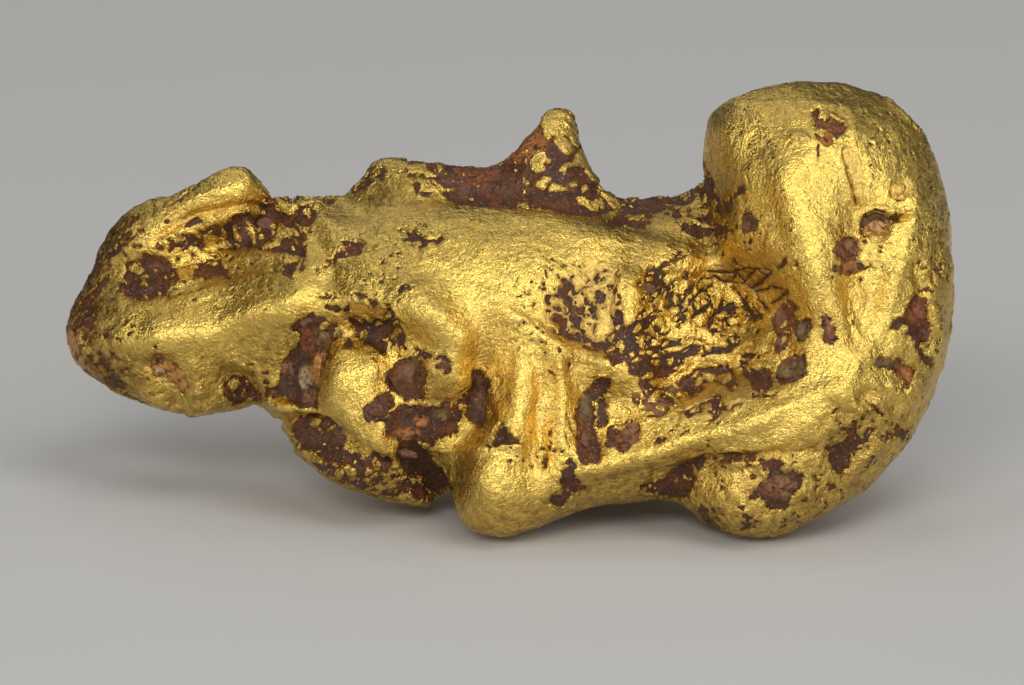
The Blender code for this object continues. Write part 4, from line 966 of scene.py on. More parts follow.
points = read_points(gold.data)
normals = read_normals(gold.data)
count = len(points)
edges = read_edges(gold.data)
neighbours = np.bincount(edges.ravel(), minlength=count)


def spread(values, passes):
    """Averages each point's value with its neighbours', over and over."""
    for _ in range(passes):
        total = np.bincount(edges[:, 0], values[edges[:, 1]], count)
        total += np.bincount(edges[:, 1], values[edges[:, 0]], count)
        values = (values + total / neighbours) / 2
    return values


# What the viewer can see of the face takes the marks; the rest has its own.
sight = BVHTree.FromPolygons(
    [tuple(point) for point in read_points(nodule.data)],
    [tuple(face.vertices) for face in nodule.data.polygons],
)
to_viewer = Vector((0, -1, 0))
starts = points + normals * SIGHT_START
seen = np.array([sight.ray_cast(Vector(start), to_viewer)[0] is None for start in starts])
seen = spread(np.where(seen & (normals[:, 1] < 0), 1.0, 0.0), SIGHT_FADE)
unseen = 1 - seen
hidden = unseen * UNSEEN_MARGIN
facing = FAR - hidden
for middle, sizes, rise in SWELLS:
    points[:, 1] -= rise * seen * mound(points, middle, sizes)
set_points(gold.data, points)
normals = read_normals(gold.data)

# The forms and the crisp marks, along lines that wander a little.
front = np.nonzero(seen > 0)[0]
bends = [np.zeros((count, 3)) for _ in BENDS]
for bend, (length, reach) in zip(bends, BENDS):
    bend[front] = reach * wander(points[front], length)
across, _, up = (points + sum(bends)).T
height = np.zeros(count)
for line, reach, rise in STROKES:
    near, away = near_line(line, reach)
    height[near] += rise * ease(1 - away / reach) * seen[near]
matt = np.zeros(count)
for outline, wall, deep in MARKS:
    near, edge = near_outline(outline)
    inside = ease(0.5 - edge / wall) * seen[near]
    height[near] -= deep * inside
    matt[near] = np.maximum(matt[near], MARK_MATT * inside)

# Each point looks up the patches a little aside, so that their outlines are ragged, and is drawn
# to the nearest seat of a crystal, so that they are jagged.
ragged = ripples(points, RAGGED, 3.1)
ragged_up = ripples(points, RAGGED, 17.7)
across, up = points[:, 0], points[:, 2]
jagged = np.zeros(count, dtype=bool)
for outline, _, _ in PATCHES.values():
    near, edge = near_outline(outline)
    jagged[near] |= np.abs(edge) < FINE_REACH
jagged = np.nonzero(jagged)[0]
_, seats = find_cells(points[jagged] / JAG)
pull = (seats[:, 0] * JAG - points[jagged]) * JAG_PULL
across = points[:, 0] + ragged
up = points[:, 2] + ragged_up
across[jagged] += pull[:, 0]
up[jagged] += pull[:, 2]
rock = np.full(count, FAR)  # distance to the rock's edge, negative where it shows, mm
depth = np.zeros(count)  # how deep it lies, mm


def lay_bare(near, edge, deep):
    """Takes rock to the surface where the distance to its edge is below zero."""
    nearer = edge < rock[near]
    rock[near] = np.where(nearer, edge, rock[near])
    depth[near] = np.where(nearer, deep, depth[near])


def leave_flecks(near, edge, gold_share, shift):
    """The distance to the rock's edge once flecks of gold are left in it."""
    bits = [flecks(points[near], size, gold_share * share, shift) for size, share in FLECKS]
    return np.maximum(edge, np.maximum(*bits))


for name, (outline, deep, gold_share) in PATCHES.items():
    near, edge = near_outline(outline)
    if name not in THROUGH:
        edge += hidden[near]
    if gold_share:
        inside = edge < FLECK_REACH
        edge[inside] = leave_flecks(near[inside], edge[inside], gold_share, 41.3)
    lay_bare(near, edge, deep)
for outline in MATT:
    near, edge = near_outline(outline)
    matt[near] = np.maximum(matt[near], ease(0.5 - edge))

# Gold stands in the rock as plates, as a lattice, as boxwork and in streaks.
across = points[:, 0] + ragged * PLATE_RAGGED
up = points[:, 2] + ragged_up * PLATE_RAGGED
for turn, outline in enumerate(PLATES):
    near, edge = near_outline(outline, FINE_REACH)
    inside = PLATE_SPREAD - edge - hidden[near]
    rock[near] = np.maximum(rock[near], inside)
    middle = np.mean(outline, axis=0)
    tilt = (across[near] - middle[0]) * math.cos(turn) + (up[near] - middle[1]) * math.sin(turn)
    height[near] += PLATE_TILT * tilt * ease(inside / PLATE_RAMP + 1)

chance = np.random.default_rng(4)
near, edge = near_outline(LATTICE, FINE_REACH)
gap = np.full(len(near), FAR)
corners = np.array(LATTICE)
for _ in range(LATTICE_LINES):
    middle = chance.uniform(corners.min(axis=0), corners.max(axis=0))
    turn = chance.normal(*LATTICE_TURN)
    if chance.random() < LATTICE_CROSS:
        turn = chance.uniform(0, math.pi)
    run = chance.uniform(*LATTICE_LENGTH) / 2 * np.array((math.cos(turn), math.sin(turn)))
    away = line_distance(across[near], up[near], (middle - run, middle + run))
    gap = np.minimum(gap, away - chance.uniform(*LATTICE_GAP))
inside = -edge - hidden[near]
near, gap, inside = near[inside > 0], gap[inside > 0], inside[inside > 0]
rock[near] = np.maximum(rock[near], np.minimum(gap, inside))
_, seats = find_cells(points[near] / LATTICE_FACET)
off = points[near] - seats[:, 0] * LATTICE_FACET
lean = draw(seats[:, 0]) * 2 * math.pi
tilt = off[:, 0] * np.cos(lean) + off[:, 2] * np.sin(lean)
height[near] += LATTICE_TILT * tilt * ease(inside / LATTICE_RAMP)

for name, share in BOXWORK:
    near = around(PATCHES[name][0])
    near = near[(rock[near] < -PLATE_GAP) & (seen[near] > 0.5)]
    if name == "pit":
        near = near[outline_distance(across[near], up[near], LATTICE) > 0]
    far, seats = find_cells(points[near] @ BOX_TURN + bends[1][near])
    gap = (far[:, 1] - far[:, 0]) / 2 * BOX_SIZE - PLATE_GAP / 2
    plate = np.minimum(gap, -rock[near] - PLATE_GAP)
    plate = np.where(draw(seats[:, 0]) < share, plate, -1)
    rock[near] = np.maximum(rock[near], plate)
for line, half_width in STREAKS:
    near, away = near_line(line)
    rock[near] = np.maximum(rock[near], half_width - away - hidden[near])

# Cracks and specks open the gold again, and the back has patches of its own.
for line, half_width in CRACKS:
    near, away = near_line(line)
    width = half_width * (CRACK_SPREAD - CRACK_CHANGE * ragged[near])
    lay_bare(near, away - width + hidden[near], CRACK_DEPTH)
across, up = points[:, 0], points[:, 2]
for near, edge in speck_edges():
    lay_bare(near, edge + hidden[near], SPECK_DEPTH)
edge = back_edges(points) + ragged + ease(seen * 2) * UNSEEN_MARGIN
near = np.nonzero(edge < FLECK_REACH)[0]
lay_bare(near, leave_flecks(near, edge[near], BACK_GOLD, 11.3), BACK_DEPTH)

# The gold is hammered in dents over dents and creased between them. It rises in a thin lip round
# the rock, and goes down under it in a steep wall.
WALL = 0.045  # half the width of the wall, mm
SEAT = 0.22  # how far the gold's floor lies under the rock's surface, mm
LIP = 0.05  # height, mm
LIP_WIDTH = 0.22  # mm
LIP_SHARE = 0.6  # of its height on the whole, and per mm of raggedness
LIP_CHANGE = 4
DENTS = ((2.6, 0.11), (1.4, 0.07), (0.7, 0.035))  # length, height, mm
CREASES = ((1.1, 0.05), (0.55, 0.03))  # length, depth, mm
CREASE_SHARPNESS = 4
CREASE_LOSS = 0.7  # where the gold is matt
BACK_DENTS = 0.8  # how much deeper they are at the back, where less has worn them
BACK_FOLDS = ((5.0, 0.8), (2.4, 0.35))  # length, depth, mm
FORM_SPREAD = 24  # passes that smooth away all but the large forms

dents = ripples(points, DENTS, 5.5) * (1 + BACK_DENTS * unseen)
back = np.nonzero(unseen > 0)[0]
dents[back] -= unseen[back] * sum(
    deep * np.abs(ripple(points[back], length, 1, 61.0)) for length, deep in BACK_FOLDS)
creases = np.zeros(count)
for length, deep in CREASES:
    slope = np.abs(ripple(points + bends[1], length, 1, 23.0)) * CREASE_SHARPNESS
    creases -= deep * (1 - np.minimum(slope, 1))
creases *= 1 + BACK_DENTS * unseen
outer = points + normals * (height + dents)[:, None]
wall = ease((WALL - rock) / (2 * WALL))
flat = ease(0.5 - 2 * outline_distance(points[:, 0], points[:, 2], LATTICE)) * seen
lip = np.exp(-((rock - LIP_WIDTH / 2) / (LIP_WIDTH / 2)) ** 2)
lip *= LIP_SHARE + LIP_CHANGE * ragged
skin = creases * (1 - CREASE_LOSS * matt) + LIP * lip * (1 - np.maximum(matt, flat))
skin = skin * (1 - wall) - (depth + SEAT) * wall
set_points(gold.data, outer + normals * skin[:, None])
# How far each point lies in a hollow, where the material paints shade into the gold.
plain = np.stack([spread(outer[:, axis], FORM_SPREAD) for axis in range(3)], axis=1)
hollow = ((plain - outer) * normals).sum(axis=1)


def keep_field(mesh, name, values):
    """Gives a mesh a value at each point, for its material."""
    field = mesh.attributes.new(name, "FLOAT", "POINT")
    field.data.foreach_set("value", values.astype(np.float32))


def thin(piece, triangles):
    """Turns a piece into about so many triangles, and shades it smooth."""
    apply_modifiers(piece, ("TRIANGULATE", {}))
    ratio = triangles / len(piece.data.polygons)
    if ratio < 1:
        apply_modifiers(piece, ("DECIMATE", {"ratio": ratio}))
    set_points(piece.data, read_points(piece.data))
    piece.data.polygons.foreach_set("use_smooth", np.ones(len(piece.data.polygons), dtype=bool))
    piece.data.update()


STAIN_RAGGED = 2  # per mm of raggedness, how far the stains wander, of their half sizes
BACK_DARKENING = 0.45  # how strongly the back takes the same brown all over
UNDERSIDE_SHADE_FROM = 0.15  # how far up a surface may look and still take the painted shade under the nugget

brown = np.zeros(count)
for middle, sizes, strength in STAINS:
    off = off_middle(across, up, middle, sizes) + STAIN_RAGGED * ragged
    brown = np.maximum(brown, strength * ease(FADE_FROM - off) * ease(seen * 2))
# Painted shade: surfaces that face down, under the nugget, are marked to be browned darker.
painted_underside_shade = ease(UNDERSIDE_SHADE_FROM - spread(normals[:, 2], SIGHT_FADE))
keep_field(gold.data, "rock", np.clip(rock, -1, 1))
keep_field(gold.data, "hollow", np.clip(hollow, -1, 1))
keep_field(gold.data, "matt", matt)
keep_field(gold.data, "brown", brown)
keep_field(gold.data, "painted_underside_shade", np.maximum(painted_underside_shade, BACK_DARKENING * unseen))
faces = [tuple(face.vertices) for face in gold.data.polygons]
thin(gold, TRIANGLES)


def add(kind, inputs=(), **settings):
    """Adds a node; an input's value is a number, a colour or another node's output."""
    node = tree.nodes.new(kind)
    for name, value in settings.items():
        setattr(node, name, value)
    for name, value in dict(inputs).items():
        if isinstance(value, bpy.types.NodeSocket):
            tree.links.new(value, node.inputs[name])
        else:
            node.inputs[name].default_value = value
    return node


def waves(length, detail=2.0, twist=0.0, rough=0.5):
    """Noise from 0 to 1 in waves of a length in mm."""
    return add("ShaderNodeTexNoise", {
        "Vector": place, "Scale": 1 / (length * MM), "Detail": detail, "Distortion": twist,
        "Roughness": rough}).outputs["Fac"]


def span(value, before, after=(0.0, 1.0)):
    """Takes a value from one range to another, and holds it there."""
    return add("ShaderNodeMapRange", {
        "Value": value, "From Min": before[0], "From Max": before[1], "To Min": after[0],
        "To Max": after[1]}).outputs["Result"]


def reckon(operation, first, second):
    """A calculation with two values."""
    return add("ShaderNodeMath", {0: first, 1: second}, operation=operation).outputs[0]


def layers(*reliefs):
    """Adds up reliefs, each given as (height, share)."""
    total = 0.0
    for height, share in reliefs:
        total = reckon("ADD", total, reckon("MULTIPLY", height, share))
    return total


def mix(share, first, second):
    """Blends two colours."""
    colours = [c if isinstance(c, bpy.types.NodeSocket) else (*c, 1.0) for c in (first, second)]
    node = add("ShaderNodeMix", {0: share, 6: colours[0], 7: colours[1]}, data_type="RGBA")
    return node.outputs[2]


def read_field(name, output="Fac"):
    """A value or colour that was kept at the mesh's points."""
    return add("ShaderNodeAttribute", attribute_name=name).outputs[output]


def new_material(name):
    """A material with an empty tree."""
    material = bpy.data.materials.new(name)
    material.use_nodes = True
    material.node_tree.nodes.clear()
    return material


# Mottling, as iron leaves it on gold, ironstone and quartz alike: noise of a scale, brought from
# the range From to the range To.
MOTTLING = (("Scale", 1000.0), ("Detail", 2.0), ("Twist", 0.0), ("Rough", 0.5),
            ("From Low", 0.0), ("From High", 1.0), ("To Low", 0.0), ("To High", 1.0))
mottling = bpy.data.node_groups.new("mottling", "ShaderNodeTree")
for name, value in MOTTLING:
    socket = mottling.interface.new_socket(name, in_out="INPUT", socket_type="NodeSocketFloat")
    socket.default_value = value
mottling.interface.new_socket("Mask", in_out="OUTPUT", socket_type="NodeSocketFloat")
tree = mottling
place = add("ShaderNodeTexCoord").outputs["Object"]
given = add("NodeGroupInput").outputs
spots = add("ShaderNodeTexNoise", {
    "Vector": place, "Scale": given["Scale"], "Detail": given["Detail"],
    "Distortion": given["Twist"], "Roughness": given["Rough"]}).outputs["Fac"]
mask = span(spots, (given["From Low"], given["From High"]), (given["To Low"], given["To High"]))
add("NodeGroupOutput", {"Mask": mask})


def mottle(length, before, after=(0.0, 1.0), detail=2.0, twist=0.0, rough=0.5):
    """The mottling in waves of a length in mm."""
    return add("ShaderNodeGroup", {
        "Scale": 1 / (length * MM), "Detail": detail, "Twist": twist, "Rough": rough,
        "From Low": before[0], "From High": before[1], "To Low": after[0], "To High": after[1],
    }, node_tree=mottling).outputs["Mask"]


GOLD = (0.94, 0.645, 0.148)
# Deeper gold, for broad clouds and as painted shade in hollows.
GOLD_DEEP_AND_SHADE = (0.70, 0.47, 0.12)
GOLD_MATT = (0.80, 0.54, 0.15)
GOLD_BROWN = (0.20, 0.088, 0.020)
GOLD_RELIEF = 0.095  # mm
MATT_ROUGHNESS = 0.14
BROWN_ROUGHNESS = 0.15

finish = new_material("hammered_gold")
tree = finish.node_tree
place = add("ShaderNodeTexCoord").outputs["Object"]
matt_field = read_field("matt")
underside_shade_field = read_field("painted_underside_shade")

# The gold is deeper in hollows, as painted shade, and in broad clouds, paler where it is matt,
# and brown beside the rock and in stains. Surfaces that face down are browned as painted shade
# under the nugget, and the back takes some of that brown all over.
# Painted shade: the gold is deeper and darker in its hollows.
colour = mix(span(read_field("hollow"), (0.0, 0.13), (0.0, 0.6)), GOLD, GOLD_DEEP_AND_SHADE)
colour = mix(mottle(2.2, (0.5, 0.7), (0.0, 0.5), detail=3.0), colour, GOLD_DEEP_AND_SHADE)
colour = mix(reckon("MULTIPLY", matt_field, 0.8), colour, GOLD_MATT)
speckle = mottle(0.4, (0.3, 0.7), (-0.15, 0.15), detail=4.0, twist=0.5, rough=0.65)
rim = span(reckon("ADD", read_field("rock"), speckle), (0.16, -0.02), (0.0, 0.5))
colour = mix(rim, colour, GOLD_BROWN)
stain = mottle(0.4, (0.35, 0.6), (0.35, 1.15), detail=4.0, twist=0.5, rough=0.65)
# Painted shade: mottled brown on the surfaces that face down.
shade_mottle = mottle(0.55, (0.42, 0.62), (0.10, 0.75), detail=5.0, twist=0.6, rough=0.7)
# One brown share, from the real iron stains and from the painted underside shade.
stain_and_shade_share = reckon("MAXIMUM", reckon("MULTIPLY", read_field("brown"), stain),
                     reckon("MULTIPLY", underside_shade_field, shade_mottle))
colour = mix(stain_and_shade_share, colour, GOLD_BROWN)
gloss = reckon("ADD", mottle(0.6, (0.3, 0.7), (0.17, 0.31), detail=3.0),
               layers((matt_field, MATT_ROUGHNESS), (stain_and_shade_share, BROWN_ROUGHNESS)))
# Seen close, the skin is folded, creased, wrinkled and grained.
folds = waves(0.70, 1.0, 0.7)
creased = reckon("ABSOLUTE", reckon("SUBTRACT", waves(0.55, 2.0, 0.4), 0.5), 0)
wrinkles = waves(0.26, 2.0, 0.8, 0.6)
grains = waves(0.11, 1.0, 0.5)
relief = layers((folds, 1.1), (creased, 1.3), (wrinkles, 0.8), (grains, 0.5))
relief = reckon("MULTIPLY", relief, span(underside_shade_field, (0.0, 1.0), (1.0, 1.7)))
bump = add("ShaderNodeBump", {"Distance": GOLD_RELIEF * MM, "Height": relief})
surface = add("ShaderNodeBsdfPrincipled", {"Base Color": colour, "Metallic": 1.0,
                                           "Roughness": gloss, "Normal": bump.outputs[0]})
add("ShaderNodeOutputMaterial", {"Surface": surface.outputs[0]})
gold.data.materials.clear()
gold.data.materials.append(finish)
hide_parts("nugget")
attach(gold, "root")

# --- Ironstone ---------------------------------------------------------------------------------
# Rusty ironstone of iron oxide and clay, granular and matt, that the gold grew through. What the
# stream has left of it is seated in the gold's hollows, mostly a little below the skin.

ROCK_OVERLAP = 0.16  # how far the rock runs on under the gold, mm
ROCK_TRIANGLES = 190000  # at most
ROCK_LUMPS = ((1.3, 0.06), (0.5, 0.045), (0.24, 0.03))  # length, height, mm
ROCK_GRAIN = 0.30  # size of a grain, mm
ROCK_GRAIN_HEIGHT = 0.07  # mm
ROCK_GRAIN_MIDDLE = 0.4  # of its size, where a grain is as high as the rock round it
ROCK_BACK = 1.5  # how much rougher it is at the back, where less has worn it
ROCK_EDGE = 4  # how steeply the lumps set in at the rock's edge, per mm
ROCK_HOLLOW = 0.5  # share of its depth by which a patch sinks further towards its middle
ROCK_HOLLOW_WIDTH = 0.7  # mm
ROCK_SLOPE = 0.8  # how steeply the rock goes down under the gold
ROCK_BOTTOM = 0.6  # share of the seat that the rock fills
TINT_FROM = 1.25  # how far out a tint reaches, of its half sizes, and how softly it ends
TINT_FADE = 0.5

CREAM = (0.46, 0.32, 0.17)
GREY_GREEN = (0.19, 0.115, 0.038)
PINK = (0.28, 0.12, 0.048)
ORANGE = (0.42, 0.15, 0.030)
COPPER = (0.60, 0.27, 0.06)
AMBER = (0.74, 0.41, 0.13)
RUST = (0.24, 0.072, 0.018)
BROWN = (0.17, 0.075, 0.025)
MAUVE = (0.15, 0.060, 0.026)
# Painted shade, for rock that lies deep in the boxwork pit and in hollows.
SHADED = (0.060, 0.024, 0.009)
# Where the rock turns to quartz, or rusts, or is darkened with painted shade (SHADED) where it
# lies deep: middle (right, up), half width and height, colour.
TONES = (
    # Painted shade: the first three tones darken the pit, the cavity and the hollow low on the
    # left.
    ((12.0, 15.2), (4.8, 3.3), SHADED),
    ((-8.9, 14.5), (1.2, 1.2), SHADED),
    ((-6.0, 5.0), (1.6, 1.6), SHADED),
    ((-12.7, 11.7), (0.7, 1.1), COPPER),
    ((-29.7, 13.4), (0.7, 1.0), COPPER),
    ((-22.9, 11.1), (1.6, 1.4), COPPER),
    ((24.3, 21.0), (0.9, 0.7), AMBER),
    ((-13.8, 15.0), (0.9, 0.5), MAUVE),
    ((-12.6, 13.8), (0.6, 0.8), GREY_GREEN),
    ((-13.6, 13.6), (0.6, 0.9), RUST),
    ((-15.0, 11.8), (0.5, 0.6), PINK),
    ((-13.8, 11.1), (0.5, 0.8), CREAM),
    ((-13.6, 9.9), (0.5, 0.6), PINK),
    ((-6.7, 11.3), (1.2, 1.3), BROWN),
    ((-9.0, 9.0), (0.9, 0.7), MAUVE),
    ((-4.6, 8.6), (0.6, 0.4), GREY_GREEN),
    ((-6.0, 8.2), (0.5, 0.4), ORANGE),
    ((-6.8, 7.4), (0.8, 0.4), ORANGE),
    ((-1.8, 10.0), (0.6, 1.4), BROWN),
    ((-7.0, 6.0), (0.8, 0.7), BROWN),
    ((-12.4, 7.2), (1.6, 0.8), MAUVE),
    ((9.2, 17.0), (0.6, 0.5), PINK),
    ((18.1, 14.8), (0.7, 1.6), RUST),
    ((19.3, 14.2), (0.5, 0.7), GREY_GREEN),
    ((18.5, 11.8), (1.0, 0.7), GREY_GREEN),
    ((17.6, 12.4), (0.4, 0.5), ORANGE),
    ((4.9, 9.2), (0.5, 1.0), GREY_GREEN),
    ((4.9, 7.6), (0.5, 0.8), RUST),
    ((7.7, 7.2), (0.8, 0.8), PINK),
    ((8.2, 10.4), (0.8, 0.8), RUST),
    ((9.6, 9.3), (0.8, 0.6), PINK),
    ((22.4, 19.7), (0.7, 0.8), PINK),
    ((22.4, 18.4), (0.8, 0.5), ORANGE),
    ((24.0, 21.7), (0.8, 0.5), GREY_GREEN),
    ((27.0, 15.6), (0.8, 0.9), RUST),
    ((25.0, 12.2), (0.8, 0.5), GREY_GREEN),
    ((26.2, 11.3), (0.5, 0.8), ORANGE),
    ((21.0, 14.4), (0.5, 0.9), PINK),
    ((20.9, 26.9), (0.5, 0.5), ORANGE),
    ((21.2, 28.0), (1.0, 0.8), RUST),
    ((17.9, 3.9), (1.0, 0.8), PINK),
    ((-2.4, 25.0), (1.6, 1.0), RUST),
    ((0.4, 26.6), (1.8, 0.9), ORANGE),
    ((0.0, 24.2), (2.0, 0.8), MAUVE),
    ((-4.0, 24.2), (1.4, 1.0), MAUVE),
    ((1.6, 27.4), (0.9, 0.8), ORANGE),
    ((-16.8, 21.4), (1.6, 0.9), MAUVE),
    ((15.7, 21.2), (0.8, 0.7), BROWN),
    ((-8.7, 13.9), (0.9, 0.8), MAUVE),
)

used = rock < ROCK_OVERLAP
rock_faces = [face for face in faces if all(used[list(face)])]
picked = np.unique(np.concatenate([np.array(face) for face in rock_faces]))
half = len(picked)
number = np.full(count, -1)
number[picked] = np.arange(half)
top_faces = [tuple(int(number[index]) for index in face) for face in rock_faces]
bottom_faces = [tuple(index + half for index in reversed(face)) for face in top_faces]
rims = {}
for face in top_faces:
    for first, second in zip(face, face[1:] + face[:1]):
        if (second, first) in rims:
            del rims[second, first]
        else:
            rims[first, second] = True
side_faces = [(second, first, first + half, second + half) for first, second in rims]

lumps = ripples(points[picked], ROCK_LUMPS, 71.0)
grain_cells, _ = find_cells(points[picked] / ROCK_GRAIN)
lumps -= ROCK_GRAIN_HEIGHT * (grain_cells[:, 0] - ROCK_GRAIN_MIDDLE)
lumps *= 1 + ROCK_BACK * unseen[picked]
lumps *= ease(0.5 - rock[picked] * ROCK_EDGE)
under = ROCK_SLOPE * np.clip(rock[picked], 0, None)
sunk = depth[picked] * (1 + ROCK_HOLLOW * ease(-rock[picked] / ROCK_HOLLOW_WIDTH)) + under
top = outer[picked] + normals[picked] * (lumps - sunk)[:, None]
seat = depth[picked] + SEAT * ROCK_BOTTOM + under
bottom = outer[picked] - normals[picked] * seat[:, None]

tint = np.zeros((half, 4))
tint_share = np.zeros(half)
for middle, sizes, colour in TONES:
    off = off_middle(across[picked], up[picked], middle, sizes)
    share = ease((TINT_FROM - off) / TINT_FADE) * ease(seen[picked] * 2)
    nearer = (share > 0) & (share >= tint_share)
    tint_share = np.where(nearer, share, tint_share)
    tint[nearer] = (*colour, 1.0)


def build_piece(name, points, faces, tints):
    """Makes a piece of points in the face frame and faces, with a colour at each point."""
    mesh = bpy.data.meshes.new(name)
    mesh.from_pydata([tuple(point) for point in points], [], faces)
    set_points(mesh, points)
    field = mesh.color_attributes.new("tint", "FLOAT_COLOR", "POINT")
    field.data.foreach_set("color", tints.astype(np.float32).ravel())
    piece = bpy.data.objects.new(name, mesh)
    bpy.context.scene.collection.objects.link(piece)
    return piece


ironstone = build_piece("ironstone", np.concatenate([top, bottom]),
                        top_faces + bottom_faces + side_faces, np.concatenate([tint, tint]))
keep_field(ironstone.data, "tint_share", np.concatenate([tint_share, tint_share]))
thin(ironstone, ROCK_TRIANGLES)

ROCK_DARK = (0.022, 0.008, 0.004)
ROCK_MAUVE = (0.088, 0.032, 0.012)
ROCK_RUST = (0.165, 0.045, 0.008)
ROCK_GREY = (0.42, 0.33, 0.26)
ROCK_RELIEF = 0.09  # mm
STONE_SHINE = 0.35

stone = new_material("ironstone")
tree = stone.node_tree
place = add("ShaderNodeTexCoord").outputs["Object"]
# Mauve rock rusts in clouds, has its tints, among them painted shade where it lies deep, is dark
# in its pores and has a few grey grains.
fine = waves(0.30, 4.0, 0.3, 0.6)
colour = mix(mottle(1.1, (0.48, 0.62), detail=3.0), ROCK_MAUVE, ROCK_RUST)
tinted = reckon("MULTIPLY", read_field("tint_share"), mottle(0.6, (0.35, 0.5), detail=3.0))
colour = mix(tinted, colour, read_field("tint", "Color"))
colour = mix(span(fine, (0.56, 0.34), (0.0, 0.72)), colour, ROCK_DARK)
colour = mix(mottle(0.13, (0.74, 0.79), (0.0, 0.7), detail=0.0), colour, ROCK_GREY)
gloss = mottle(0.25, (0.35, 0.65), (0.26, 0.66))
relief = layers((fine, 1.0), (waves(0.1, 1.0), 0.3))
bump = add("ShaderNodeBump", {"Distance": ROCK_RELIEF * MM, "Height": relief})
surface = add("ShaderNodeBsdfPrincipled", {"Base Color": colour, "Roughness": gloss,
                                           "Specular IOR Level": STONE_SHINE,
                                           "Normal": bump.outputs[0]})
add("ShaderNodeOutputMaterial", {"Surface": surface.outputs[0]})
ironstone.data.materials.append(stone)
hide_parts("nugget")
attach(ironstone, "root")

# --- Quartz grains -----------------------------------------------------------------------------
# Milky quartz that grew with the ironstone, which has stained it, and that the stream has worn
# round. The grains are held in the rock and in the gold. They are one joined mesh.

# Each grain: middle (right, up), half its width and height in mm, turn in degrees, colour.
GRAINS = (
    ((-13.9, 10.9), (0.40, 0.75), 8, CREAM),
    ((-12.75, 11.7), (0.55, 0.95), -8, COPPER),
    ((24.35, 20.95), (0.80, 0.62), 10, AMBER),
    ((-23.5, 11.6), (0.62, 0.36), 20, CREAM),
    ((-13.5, 9.7), (0.32, 0.45), -20, PINK),
    ((-12.5, 13.7), (0.60, 0.65), 15, GREY_GREEN),
    ((-15.1, 11.7), (0.42, 0.50), 0, PINK),
    ((-13.7, 14.9), (0.70, 0.45), 10, MAUVE),
    ((-6.7, 11.1), (1.40, 1.45), 0, BROWN),
    ((-4.6, 8.6), (0.50, 0.36), 15, GREY_GREEN),
    ((-6.0, 8.1), (0.42, 0.36), 30, ORANGE),
    ((-7.0, 7.3), (0.60, 0.36), 8, ORANGE),
    ((-6.9, 6.1), (0.85, 0.36), -20, BROWN),
    ((4.9, 9.0), (0.50, 1.25), 0, GREY_GREEN),
    ((4.9, 6.9), (0.55, 0.80), 0, BROWN),
    ((7.9, 7.4), (0.65, 0.80), -30, PINK),
    ((6.7, 6.6), (0.40, 0.35), 0, MAUVE),
    ((9.2, 9.2), (0.50, 0.40), 20, PINK),
    ((10.7, 10.2), (0.38, 0.32), 0, GREY_GREEN),
    ((18.0, 4.2), (0.75, 0.50), 40, PINK),
    ((17.3, 3.4), (0.45, 0.40), 0, MAUVE),
    ((18.0, 15.0), (0.60, 1.10), 5, RUST),
    ((17.9, 13.4), (0.45, 0.60), 0, BROWN),
    ((19.3, 14.3), (0.52, 0.72), -10, GREY_GREEN),
    ((18.5, 11.7), (1.05, 0.78), 30, GREY_GREEN),
    ((22.3, 19.7), (0.55, 0.65), 20, PINK),
    ((22.3, 18.5), (0.60, 0.38), 15, ORANGE),
    ((21.0, 14.5), (0.32, 0.75), 15, PINK),
    ((24.8, 12.2), (0.50, 0.28), -5, GREY_GREEN),
    ((26.1, 11.4), (0.36, 0.62), 30, ORANGE),
    ((27.0, 15.4), (0.55, 0.65), 0, RUST),
    ((27.4, 13.9), (0.40, 0.50), 0, MAUVE),
    ((21.0, 27.1), (0.35, 0.35), 0, ORANGE),
    ((15.7, 21.1), (0.50, 0.42), 0, BROWN),
    ((-16.5, 21.3), (0.80, 0.60), -15, MAUVE),
    ((-8.9, 9.0), (0.70, 0.50), 20, MAUVE),
    ((9.1, 16.9), (0.50, 0.45), 0, MAUVE),
)
GRAIN_DEPTH = 0.55  # of a grain's smaller half size, how thick it is to the front
GRAIN_SINK = 0.62  # of that thickness, how far its middle lies below the rock's surface
GRAIN_LUMPS = ((0.9, 0.16), (0.35, 0.07), (0.16, 0.02))  # length, height, mm
FACETS = 18  # flat sides that are cut off each grain
FACET_CUT = (0.62, 0.95)  # how far from a grain's middle its flat sides lie, of its half size
GRAIN_DIVISIONS = 5
VIEWER_SIDE = -50.0  # how far deep a line that meets the skin starts, mm

